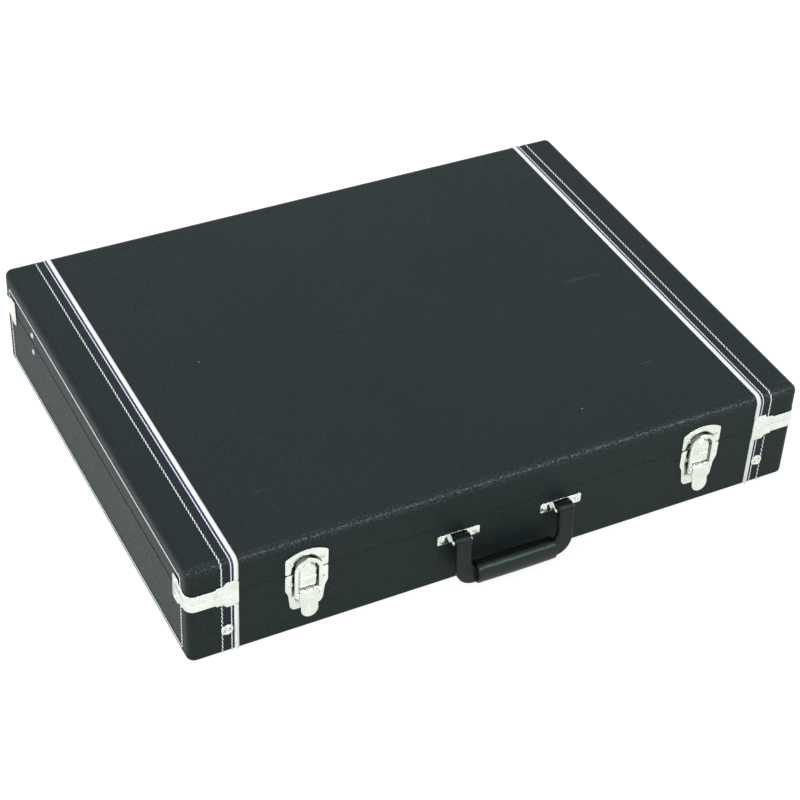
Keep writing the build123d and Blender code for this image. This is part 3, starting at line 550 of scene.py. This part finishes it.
rim_gap, last_stitch_z = 0.0009, 0.0045
for half, start in (("lid", parting + rim_gap), ("base", parting - rim_gap)):
    for row_name, inset, slant, pitch in (("inner", 0.0555, 0.12, 0.0056), ("outer", 0.0433, 0.21, 0.0066)):
        rows = [belt(side * (end_x - inset), half, start, 0.00030, 9) for side in (-1, 1)]
        if half == "base":
            rows = [[end, (end[0], end[1], last_stitch_z)] for row in rows for end in (row[0], row[-1])]
        sew(f"{row_name}_stitches_{half}", half, rows, Slant=slant, Stitch_Length=pitch)

seam_y, seam_x = back_y - 0.021, end_x + 0.00015
for half, start, turn_z in (("lid", parting + rim_gap, top_z - 0.022), ("base", parting - rim_gap, 0.0085)):
    rows = []
    for x in (-seam_x, seam_x):
        rows.append([(x, -seam_y, start), (x, -seam_y, turn_z), (x, seam_y, turn_z), (x, seam_y, start)])
    sew(f"panel_stitches_{half}", half, rows, Slant=0.0, Seam_Slant=0.16)

# ------------------------------------------------------------- carcass wood
# Birch plywood boards glued into a tray and a lid. They only show at the
# rim, where the edge of the board is sealed with black paint.
ply_wood, tree, shader, place = material("ply_wood")
stretched = pulled(tree, place, (4.0, 4.0, 60.0))
fibre = noise_at(tree, stretched, Scale=9.0, Detail=6.0, Roughness=0.6, Distortion=0.6)
layers = add(tree, "ShaderNodeTexWave", wave_type="BANDS", bands_direction="Z")
give(layers, Vector=place, Scale=110.0, Distortion=0.4)
colour = blend(tree, ramp(tree, fibre.outputs["Fac"], 0.35, 0.7), (0.52, 0.36, 0.20), (0.66, 0.50, 0.32))
colour = blend(tree, ramp(tree, layers.outputs["Fac"], 0.75, 0.95, 0.0, 0.35), colour, (0.24, 0.14, 0.07))
rim = math_node(tree, "ABSOLUTE", math_node(tree, "SUBTRACT", axes_of(tree, place)["Z"], parting))
brushy = math_node(tree, "MULTIPLY_ADD", fibre.outputs["Fac"], 0.0015, rim)
colour = blend(tree, ramp(tree, brushy, 0.0034, 0.0028), colour, (0.012, 0.013, 0.013))
rough = ramp(tree, fibre.outputs["Fac"], 0.2, 0.8, 0.55, 0.75)
give(shader, Base_Color=colour, Roughness=rough)
relief(tree, shader, fibre.outputs["Fac"], 0.0002, 0.6)
dress(ply_wood, "base_bottom_panel", "lid_top_panel")
dress(ply_wood, *(f"{half}_{wall}_board" for half in ("base", "lid") for wall in ("front", "back", "left", "right")))

# ------------------------------------------------------------- nickel plate
# All outside fittings are pressed from thin sheet and bright nickel plated.
# The plate is warm white, a little smudged, with hair scratches from use.
rubbed, gin, gout = group("rubbed_metal", ("Smudge", "Scratch", "Ripple"), Scratches=0.4, Patch_Size=0.012)
per_metre = math_node(rubbed, "DIVIDE", 1.0, gin.outputs["Patch Size"])
patches = noise_at(rubbed, gin.outputs["Vector"], Scale=per_metre, Detail=4.0, Roughness=0.6, Distortion=0.8)
combed = pulled(rubbed, gin.outputs["Vector"], (60.0, 1500.0, 900.0), (0.4, 0.3, 0.7))
hair = noise_at(rubbed, combed, Scale=1.0, Detail=2.0, Distortion=0.2)
wave = noise_at(rubbed, gin.outputs["Vector"], Scale=130.0, Detail=1.0)
scratch = times(rubbed, ramp(rubbed, hair.outputs["Fac"], 0.60, 0.70), gin.outputs["Scratches"])
give(gout, Smudge=ramp(rubbed, patches.outputs["Fac"], 0.38, 0.68), Scratch=scratch, Ripple=wave.outputs["Fac"])


def plated(name, bright, dull, rough, spread, scratches, patch, hollow_shade=None):
    """Plated or bare metal with smudges and hair scratches, and with painted shade, a near-black olive colour, in
    the hollows that a given mask marks."""
    made, tree, shader, place = material(name)
    wear = use(tree, rubbed, place, Scratches=scratches, Patch_Size=patch)
    colour = blend(tree, wear.outputs["Smudge"], bright, dull)
    colour = blend(tree, wear.outputs["Scratch"], colour, tuple(0.55 * v for v in dull))
    if hollow_shade:
        # Painted shade: the hollows that the mask marks are coloured near-black olive.
        colour = blend(tree, hollow_shade(tree, place), colour, (0.060, 0.064, 0.045))
    cloudy = times(tree, wear.outputs["Smudge"], spread)
    rough = math_node(tree, "ADD", cloudy, math_node(tree, "MULTIPLY_ADD", wear.outputs["Scratch"], 0.25, rough))
    give(shader, Base_Color=colour, Roughness=rough, Metallic=1.0)
    relief(tree, shader, wear.outputs["Ripple"], 0.00010, 0.12)
    return made


def recess_shade(tree, place):
    """Painted shade in the hollows that a fastener's own mesh marks as pit."""
    mark = add(tree, "ShaderNodeAttribute", attribute_type="GEOMETRY", attribute_name="pit")
    return ramp(tree, mark.outputs["Fac"], 0.15, 0.85, 0.0, 0.9)


nickel = plated("nickel", (0.79, 0.82, 0.76), (0.71, 0.73, 0.66), 0.14, 0.06, 0.12, 0.02)
screw_nickel = plated("screw_nickel", (0.80, 0.83, 0.77), (0.70, 0.72, 0.65), 0.16, 0.06, 0.25, 0.01, recess_shade)
zinc_steel = plated("zinc_steel", (0.62, 0.64, 0.66), (0.50, 0.52, 0.55), 0.26, 0.16, 0.6, 0.02)


def surface(work, name, finish):
    """Smooth object in the scene, of a working mesh and in one material."""
    for face in work.faces:
        face.smooth = True
    made = shape_of(work, name)
    made.data.materials.append(finish)
    scene.collection.objects.link(made)
    return made


def merged(node, within):
    """Working mesh of a CAD node, with points this near to each other made one."""
    work = bmesh.new()
    work.from_mesh(cad[node].data)
    bmesh.ops.remove_doubles(work, verts=work.verts, dist=within)
    return work


def softened(node, name, body, finish, width, steps=2, angle=32.0):
    """Stands for a CAD node with a merged copy whose sharp edges are rolled over.
    The brackets of lid and base come closer to each other at the parting."""
    work = merged(node, 0.000002)
    beside_parting, bracket_gap = 0.0006, 0.00015
    for vert in work.verts:
        if abs(vert.co.z - parting) < beside_parting and node.startswith("corner"):
            vert.co.z = parting + math.copysign(bracket_gap, vert.co.z - parting)
    bmesh.ops.dissolve_limit(work, angle_limit=0.012, verts=work.verts, edges=work.edges)
    made = surface(work, name, finish)
    rolled = made.modifiers.new("rolled edges", "BEVEL")
    rolled.width = width
    rolled.segments = steps
    rolled.limit_method = "ANGLE"
    rolled.angle_limit = math.radians(angle)
    rolled.harden_normals = True
    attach(made, body)
    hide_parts(node)


# ---------------------------------------------------------- corner brackets
# A pressed strap goes round every upper corner of the tray and lower corner
# of the lid, with shaped lobes and two domed rivets on each leg.
for half in ("base", "lid"):
    softened(f"corner_brackets_{half}", f"corner_straps_{half}", half, nickel, 0.00032)


def mark_pits(mesh, depth):
    """Stores how far each point lies in a hollow, from a rule on its place."""
    values = [depth(vert.co) for vert in mesh.vertices]
    mesh.attributes.new("pit", "FLOAT", "POINT").data.foreach_set("value", values)


def circles(work, profile, steps):
    """Rings of points about Z, one for each (radius, height)."""
    spots = [(math.cos(2 * math.pi * i / steps), math.sin(2 * math.pi * i / steps)) for i in range(steps)]
    return [[work.verts.new((r * x, r * y, z)) for x, y in spots] for r, z in profile]


def skin_over(work, rings):
    """Faces between each ring of points and the next."""
    for a, b in zip(rings, rings[1:]):
        for i in range(len(a)):
            j = (i + 1) % len(a)
            work.faces.new((a[i], a[j], b[0]) if len(b) == 1 else (a[i], a[j], b[j], b[i]))


def turned(name, profile, steps=24):
    """Unit shape turned about Z from (radius, height) points, closed below,
    which ends in a point at the last height."""
    work = bmesh.new()
    rings = circles(work, profile[:-1], steps) + [[work.verts.new((0, 0, profile[-1][1]))]]
    skin_over(work, rings)
    work.faces.new(rings[0][::-1])
    bmesh.ops.recalc_face_normals(work, faces=work.faces)
    return shape_of(work, name)


def islands(node):
    """Middle and size of each separate solid of a CAD node, in a fixed order."""
    work = merged(node, 0.00001)
    seen, found = set(), []
    for seed in work.verts:
        if seed in seen:
            continue
        seen.add(seed)
        reach, spots = [seed], []
        while reach:
            vert = reach.pop()
            spots.append(vert.co.copy())
            for edge in vert.link_edges:
                other = edge.other_vert(vert)
                if other not in seen:
                    seen.add(other)
                    reach.append(other)
        low = Vector([min(s[k] for s in spots) for k in range(3)])
        high = Vector([max(s[k] for s in spots) for k in range(3)])
        found.append(((low + high) / 2, high - low))
    work.free()
    return sorted(found, key=lambda item: tuple(round(v, 4) for v in item[0]))


row_of, gin, gout = tree_for("row_of_fasteners", Shape="Object", Loose_Turn=6.283, Seed=5, Material="Material")
facing = add(row_of, "GeometryNodeInputNamedAttribute", data_type="FLOAT_VECTOR", Name="facing")
measure = add(row_of, "GeometryNodeInputNamedAttribute", data_type="FLOAT_VECTOR", Name="measure")
upright = add(row_of, "FunctionNodeAlignRotationToVector", axis="Z", Vector=facing.outputs["Attribute"])
chance = add(row_of, "FunctionNodeRandomValue", data_type="FLOAT", Seed=gin.outputs["Seed"])
wire(row_of, (gin.outputs["Loose Turn"], chance.inputs[3]))
spin = add(row_of, "ShaderNodeCombineXYZ", Z=chance.outputs[1])
stand = upright.outputs[0], spin.outputs[0], measure.outputs["Attribute"]
set_out(row_of, gin, gout, gin.outputs["Geometry"], *stand)


def fasteners(node, name, body, shape, finish, seed, wider=1.0):
    """Sets one shape on every solid of a CAD node, facing away from the case."""
    seats, outs, sizes = [], [], []
    for middle, size in islands(node):
        axis = min(range(3), key=lambda k: size[k])
        out = Vector((0, 0, 0))
        out[axis] = 1.0 if middle[axis] > 0 else -1.0
        radius = max(size) / 2 * wider
        seats.append(tuple(middle - out * (size[axis] / 2)))
        outs += list(out)
        sizes += [radius, radius, size[axis]]
    data = bpy.data.meshes.new(name)
    data.from_pydata(seats, [], [])
    data.attributes.new("facing", "FLOAT_VECTOR", "POINT").data.foreach_set("vector", outs)
    data.attributes.new("measure", "FLOAT_VECTOR", "POINT").data.foreach_set("vector", sizes)
    source = bpy.data.objects.new(name + "_seats", data)
    scene.collection.objects.link(source)
    made = grow(row_of, source, name, body, Shape=shape, Seed=seed, Material=finish)
    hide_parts(node)


rivet_shape = turned("rivet_shape", [(1.0, 0.0), (1.0, 0.22), (0.92, 0.50), (0.74, 0.78), (0.45, 0.95), (0.0, 1.0)])
for half, seed in (("base", 3), ("lid", 4)):
    fasteners(f"bracket_rivets_{half}", f"strap_rivets_{half}", half, rivet_shape, nickel, seed)

# ------------------------------------------------------------------- screws
# Small domed screws with a cross recess hold the plates. A countersunk one
# sits in each cup washer on the bands.


def crossed(name, wide, deep, crown):
    """Unit screw head, domed, with a sunk cross of the given half arm width."""
    work = bmesh.new()
    rings = circles(work, ((1.0, 0.0), (1.0, crown), (0.90, 0.86), (0.78, 0.97), (0.64, 1.0)), 24)
    skin_over(work, rings)
    work.faces.new(rings[0][::-1])
    arm, taper = 0.56, 0.72
    mouth = []
    for c, s in ((1, 0), (0, 1), (-1, 0), (0, -1)):
        mouth += [(c * x - s * y, s * x + c * y) for x, y in ((arm, wide), (wide, wide), (wide, arm))]
    lip = [work.verts.new((x, y, 1.0)) for x, y in mouth]
    pit = [work.verts.new((taper * x, taper * y, 1.0 - deep)) for x, y in mouth]
    skin_over(work, [lip, pit])
    work.faces.new(pit)
    edges = [work.edges.get(pair) for loop in (lip, rings[-1]) for pair in zip(loop, loop[1:] + loop[:1])]
    bmesh.ops.triangle_fill(work, use_beauty=True, use_dissolve=False, edges=edges)
    bmesh.ops.recalc_face_normals(work, faces=work.faces)
    made = shape_of(work, name)
    # The cross recess is marked as pit, where painted shade goes.
    mark_pits(made.data, lambda co: 1.0 if 0 < co.z <= 1.0 - deep + 0.001 and co.xy.length < 0.5 else 0.0)
    return made


screw_shape = crossed("screw_shape", 0.15, 0.8, 0.45)
for half, seed in (("base", 11), ("lid", 12)):
    fasteners(f"screws_{half}", f"plate_screws_{half}", half, screw_shape, screw_nickel, seed)

cup_profile = [
    (1.0, 0.0), (1.0, 0.20), (0.96, 0.34), (0.88, 0.42), (0.82, 0.44), (0.74, 0.92),
    (0.68, 1.0), (0.60, 0.98), (0.53, 0.75), (0.44, 0.22), (0.0, 0.2),
]
cup_shape = turned("cup_shape", cup_profile, 32)
# The hollow in the middle of the cup is marked as pit, where painted shade goes.
mark_pits(cup_shape.data, lambda co: 1.0 if 0.15 < co.z < 0.24 and co.xy.length < 0.5 else 0.0)
fasteners("cup_washers", "band_cups", "base", cup_shape, screw_nickel, 21)
sunk_shape = crossed("sunk_shape", 0.18, 0.6, 0.7)
fasteners("cup_screws", "band_cup_screws", "base", sunk_shape, screw_nickel, 22, wider=0.92)

# ------------------------------------------------------------- draw latches
# Each latch has a strike on the lid, a base plate with a raised panel, a
# lever with rolled knuckles and an arched bail, all of nickel-plated sheet.
latch_x, latch_off, crown_z = 0.280, 0.003, parting + 0.0042


def bail_groove_shade(tree, place):
    """Painted shade in the groove round each latch that the arched bail covers: a dark ring where the bail's shadow
    falls.
    """
    axes = axes_of(tree, place)
    across = math_node(tree, "ABSOLUTE", math_node(tree, "SUBTRACT", axes["X"], latch_off))
    across = math_node(tree, "SUBTRACT", across, latch_x)
    above = math_node(tree, "MAXIMUM", math_node(tree, "SUBTRACT", axes["Z"], crown_z), 0.0)
    squares = math_node(tree, "POWER", across, 2.0), math_node(tree, "POWER", above, 2.0)
    away = math_node(tree, "SQRT", math_node(tree, "ADD", *squares))
    ring = times(tree, ramp(tree, away, 0.0112, 0.0117), ramp(tree, away, 0.0208, 0.0190))
    higher = ramp(tree, axes["Z"], parting - 0.0400, parting - 0.0340, 0.0, 0.85)
    return times(tree, ring, higher)


bed_nickel = plated("bed_nickel", (0.80, 0.83, 0.77), (0.72, 0.74, 0.67), 0.12, 0.06, 0.25, 0.02, bail_groove_shade)
softened("latch_strikes", "strikes", "lid", bed_nickel, 0.0006, 3)
softened("latch_plates", "latch_beds", "base", bed_nickel, 0.0004)
for side in ("left", "right"):
    softened(f"latch_lever_{side}", f"pull_lever_{side}", f"lever_{side}", nickel, 0.00035)
    softened(f"latch_bail_{side}", f"arched_bail_{side}", f"bail_{side}", nickel, 0.0007, 3)

# ------------------------------------------------------------- carry handle
# Two nickel plates with pin lugs carry a moulded strap, which turns up into
# hoods over the pins and is padded to a thick round grip in the middle.
softened("handle_plates", "pin_plates", "base", nickel, 0.0004)


def moulded(name, dark, light, grain, rough, gloss, depth, creases):
    """Black moulded covering with a fine leather grain and soft creases."""
    made, tree, shader, place = material(name)
    skin = use(tree, pebble, place, Grain_Size=grain, Softness=0.6)
    marks = use(tree, handled, place, Scuffs=0.25, Lint=0.1)
    colour = blend(tree, skin.outputs["Shade"], dark, light)
    colour = blend(tree, marks.outputs["Scuff"], colour, (0.10, 0.10, 0.10))
    rough = math_node(tree, "MULTIPLY_ADD", marks.outputs["Bloom"], 0.16, rough)
    give(shader, Base_Color=colour, Roughness=rough)
    give(shader, Specular_IOR_Level=gloss, Specular_Tint=(0.82, 1.0, 0.94, 1))
    soft_crease = noise_at(tree, place, Scale=46.0, Detail=1.5, Distortion=0.6)
    uneven = math_node(tree, "MULTIPLY_ADD", soft_crease.outputs["Fac"], creases, skin.outputs["Height"])
    relief(tree, shader, uneven, depth, 0.6)
    return made


strap_tones = (0.0035, 0.0045, 0.0042), (0.0085, 0.0105, 0.0098)
strap_black = moulded("strap_black", *strap_tones, 0.0007, 0.38, 0.28, 0.00008, 6.0)
grip_tones = (0.0035, 0.0050, 0.0048), (0.0085, 0.0115, 0.0110)
grip_black = moulded("grip_black", *grip_tones, 0.0009, 0.27, 0.36, 0.00010, 22.0)
softened("handle_core", "handle_strap", "handle", strap_black, 0.0011, 3, 28.0)

grip_low, grip_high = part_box("handle_grip")
grip_mid = (grip_low + grip_high) / 2
lean_angle = math.radians(5.0)
half_out, half_tall, half_long = 0.0134, 0.0149, (grip_high.x - grip_low.x) / 2
roundness, seam_depth, seam_width, steps = 0.86, 0.00035, 0.09, 40
stations = [
    (-1.0, 0.80), (-1.0, 0.91), (-0.996, 0.948), (-0.985, 0.966), (-0.94, 0.972),
    (-0.80, 0.978), (-0.55, 0.988), (-0.28, 0.997), (0.0, 1.0),
]
stations += [(-t, s) for t, s in reversed(stations[:-1])]
work = bmesh.new()
rings = []
for t, s in stations:
    ring = []
    for i in range(steps):
        a = 2 * math.pi * i / steps
        c, d = math.cos(a), math.sin(a)
        out = math.copysign(abs(c) ** roundness, c) * half_out * s
        up = math.copysign(abs(d) ** roundness, d) * half_tall * s
        up -= seam_depth * math.exp(-((a - math.pi / 2) / seam_width) ** 2)
        y = up * math.sin(lean_angle) - out * math.cos(lean_angle)
        z = up * math.cos(lean_angle) + out * math.sin(lean_angle)
        ring.append(work.verts.new((grip_mid.x + t * half_long, grip_mid.y + y, grip_mid.z + z)))
    rings.append(ring)
skin_over(work, rings)
work.faces.new(rings[0])
work.faces.new(rings[-1])
bmesh.ops.recalc_face_normals(work, faces=work.faces)
grip = surface(work, "padded_grip", grip_black)
finer = grip.modifiers.new("finer", "SUBSURF")
finer.levels = 1
finer.render_levels = 1
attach(grip, "handle")
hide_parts("handle_grip")

# ------------------------------------------------------- hinges and lid stays
# Three butt hinges stand on the back. Inside, two folding stays of zinc-plated
# strip hold the lid, and each has a shouldered rivet at either end.
for half in ("base", "lid"):
    softened(f"hinge_leaves_{half}", f"hinges_{half}", half, nickel, 0.0004)
    softened(f"stay_rivets_{half}", f"stay_pins_{half}", half, zinc_steel, 0.0006)
for side in ("left", "right"):
    for part in ("lower", "upper"):
        link = f"stay_{part}_{side}"
        softened(link, f"stay_strip_{part}_{side}", link, zinc_steel, 0.0003)

# --------------------------------------------------------------------- feet
# Four moulded rubber feet stand on the back wall, so the case can be stood
# up. Each is a low dome with a sunk middle for its nail.
foot_black, tree, shader, place = material("foot_black")
grit = noise_at(tree, place, Scale=900.0, Detail=3.0)
dusty = noise_at(tree, place, Scale=55.0, Detail=4.0)
colour = blend(tree, ramp(tree, dusty.outputs["Fac"], 0.42, 0.72), (0.012, 0.012, 0.012), (0.045, 0.044, 0.042))
rough = ramp(tree, grit.outputs["Fac"], 0.3, 0.7, 0.62, 0.85)
give(shader, Base_Color=colour, Roughness=rough)
relief(tree, shader, grit.outputs["Fac"], 0.00012, 0.6)
foot_profile = [
    (1.0, 0.0), (1.0, 0.14), (0.97, 0.42), (0.90, 0.74), (0.80, 0.92), (0.66, 1.0),
    (0.46, 1.0), (0.38, 0.95), (0.34, 0.62), (0.30, 0.56), (0.0, 0.60),
]
foot_shape = turned("foot_shape", foot_profile, 40)
for half in ("base", "lid"):
    fasteners(f"feet_{half}", f"back_feet_{half}", half, foot_shape, foot_black, 31)

# ------------------------------------------------------------------ rim lip
# A black moulded lip stands up inside the rim of the tray and keeps dust out.
lip_satin, tree, shader, place = material("lip_satin")
streak = noise_at(tree, pulled(tree, place, (8.0, 8.0, 500.0)), Scale=1.0, Detail=4.0)
colour = blend(tree, streak.outputs["Fac"], (0.010, 0.010, 0.010), (0.026, 0.026, 0.026))
rough = ramp(tree, streak.outputs["Fac"], 0.3, 0.7, 0.30, 0.46)
give(shader, Base_Color=colour, Roughness=rough)
relief(tree, shader, streak.outputs["Fac"], 0.00008, 0.5)
softened("rim_lip", "dust_lip", "base", lip_satin, 0.0008, 3)

# ------------------------------------------------------ plush lining and pads
# The inside is lined with short black plush: thin on the walls, over foam on
# the floor, under the lid and on the neck rest, stuck down on the far side.
pile, gin, gout = group("plush_pile", ("Height", "Shade", "Brushed"), Tuft_Size=0.0009, Nap=0.05)
tuft_scale = math_node(pile, "DIVIDE", 1.0, gin.outputs["Tuft Size"])
nap_scale = math_node(pile, "DIVIDE", 1.0, gin.outputs["Nap"])
tufts = noise_at(pile, gin.outputs["Vector"], Scale=tuft_scale, Detail=4.0, Roughness=0.75)
strokes = noise_at(pile, gin.outputs["Vector"], Scale=nap_scale, Detail=3.0, Distortion=1.6)
give(gout, Height=tufts.outputs["Fac"], Shade=ramp(pile, tufts.outputs["Fac"], 0.34, 0.68))
give(gout, Brushed=ramp(pile, strokes.outputs["Fac"], 0.42, 0.62))


def napped(name, dark, light, tuft, nap, sheen, depth):
    """Cloth with a pile: clumped fibres and brushed light and dark areas."""
    made, tree, shader, place = material(name)
    cloth = use(tree, pile, place, Tuft_Size=tuft, Nap=nap)
    colour = blend(tree, cloth.outputs["Shade"], dark, light)
    brushed = times(tree, cloth.outputs["Brushed"], 0.35)
    colour = blend(tree, brushed, colour, tuple(1.45 * v for v in light))
    rough = ramp(tree, cloth.outputs["Shade"], 0.0, 1.0, 0.96, 0.80)
    give(shader, Base_Color=colour, Roughness=rough, Specular_IOR_Level=0.15)
    give(shader, Sheen_Weight=sheen, Sheen_Roughness=0.45, Sheen_Tint=(0.75, 0.78, 0.85, 1))
    relief(tree, shader, cloth.outputs["Height"], depth, 0.8)
    return made


plush = napped("plush", (0.008, 0.008, 0.010), (0.030, 0.030, 0.034), 0.0011, 0.06, 0.35, 0.0006)
felt = napped("felt", (0.010, 0.010, 0.011), (0.034, 0.034, 0.037), 0.0016, 0.11, 0.2, 0.0005)


def cushion(name, node, body, low, high, face, crown, edge, cell):
    """Closed crowned pad in a box. Its face side (axis, sign) swells between
    the edges, its far side is stuck down flat and its sides pull in a little."""
    axis, sign = face
    u, v = [k for k in range(3) if k != axis]
    size = high - low
    shoulder, step, beside = 0.35 * size[axis], 0.3 * edge, 0.31 * edge

    def steps_along(length):
        count = max(3, int(round(length / cell)))
        inner = [edge + (length - 2 * edge) * i / count for i in range(count + 1)]
        return [0.0, step] + inner + [length - step, length]

    def height(a, b):
        near = min(a, size[u] - a, b, size[v] - b)
        roll = min(1.0, near / edge)
        lift = math.sqrt(max(0.0, 1 - (1 - roll) ** 2))
        across = min(1.0, near / (6 * edge))
        slow, quick = noise.noise(Vector((a * 9, b * 9, 3.1))), noise.noise(Vector((a * 31, b * 31, 7.7)))
        wander = slow * 0.35 + quick * 0.12
        full = size[axis] - crown * (1 - math.sin(across * math.pi / 2)) * 0.8 - crown * 0.5 * abs(wander)
        return shoulder + lift * (full - shoulder)

    def pulled_in(at, length, along):
        inward = 1 if at <= beside else -1 if at >= length - beside else 0
        return at + 0.12 * edge * math.sin(math.pi * along) * inward

    def spot(a, b, h):
        if h > 0:
            a, b = pulled_in(a, size[u], b / size[v]), pulled_in(b, size[v], a / size[u])
        point = Vector((0, 0, 0))
        point[u] = low[u] + a
        point[v] = low[v] + b
        point[axis] = low[axis] + h if sign > 0 else high[axis] - h
        return point

    work = bmesh.new()
    su, sv = steps_along(size[u]), steps_along(size[v])
    top = [[work.verts.new(spot(a, b, height(a, b))) for b in sv] for a in su]
    under = [[work.verts.new(spot(a, b, 0.0)) for b in sv] for a in su]
    n, m = len(su) - 1, len(sv) - 1
    for i in range(n):
        for j in range(m):
            work.faces.new((top[i][j], top[i + 1][j], top[i + 1][j + 1], top[i][j + 1]))
            work.faces.new((under[i][j], under[i][j + 1], under[i + 1][j + 1], under[i + 1][j]))
        work.faces.new((top[i][0], under[i][0], under[i + 1][0], top[i + 1][0]))
        work.faces.new((top[i][m], top[i + 1][m], under[i + 1][m], under[i][m]))
    for j in range(m):
        work.faces.new((top[0][j], top[0][j + 1], under[0][j + 1], under[0][j]))
        work.faces.new((top[n][j], under[n][j], under[n][j + 1], top[n][j + 1]))
    bmesh.ops.recalc_face_normals(work, faces=work.faces)
    made = surface(work, name, plush)
    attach(made, body)
    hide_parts(node)


for node, name, body, face, crown, edge in (
    ("base_floor_pad", "floor_cushion", "base", (2, 1), 0.0025, 0.008),
    ("lid_pad", "lid_cushion", "lid", (2, -1), 0.0018, 0.006),
    ("neck_rest_pad", "neck_cushion", "neck_rest", (2, -1), 0.0012, 0.005),
):
    low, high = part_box(node)
    cushion(name, node, body, low, high, face, crown, edge, 0.012)

for half in ("base", "lid"):
    for number, (middle, size) in enumerate(islands(f"{half}_wall_lining")):
        axis = min(range(3), key=lambda k: size[k])
        face = (axis, -1 if middle[axis] > 0 else 1)
        low, high = middle - size / 2, middle + size / 2
        name, node = f"wall_plush_{half}_{number}", f"{half}_wall_lining"
        cushion(name, node, half, low, high, face, 0.0006, 0.0022, 0.016)

# --------------------------------------------------- comb boards and neck rest
# Two upright combs of felt-covered plywood part the bodies. A third notched
# board swings down over the necks on two angle brackets as the lid closes.
for node, name, body in (
    ("body_rest_front", "comb_front", "base"),
    ("body_rest_back", "comb_back", "base"),
    ("neck_rest_board", "neck_comb", "neck_rest"),
):
    softened(node, name, body, felt, 0.0018, 3)
softened("neck_rest_brackets", "neck_comb_brackets", "lid", zinc_steel, 0.0004)
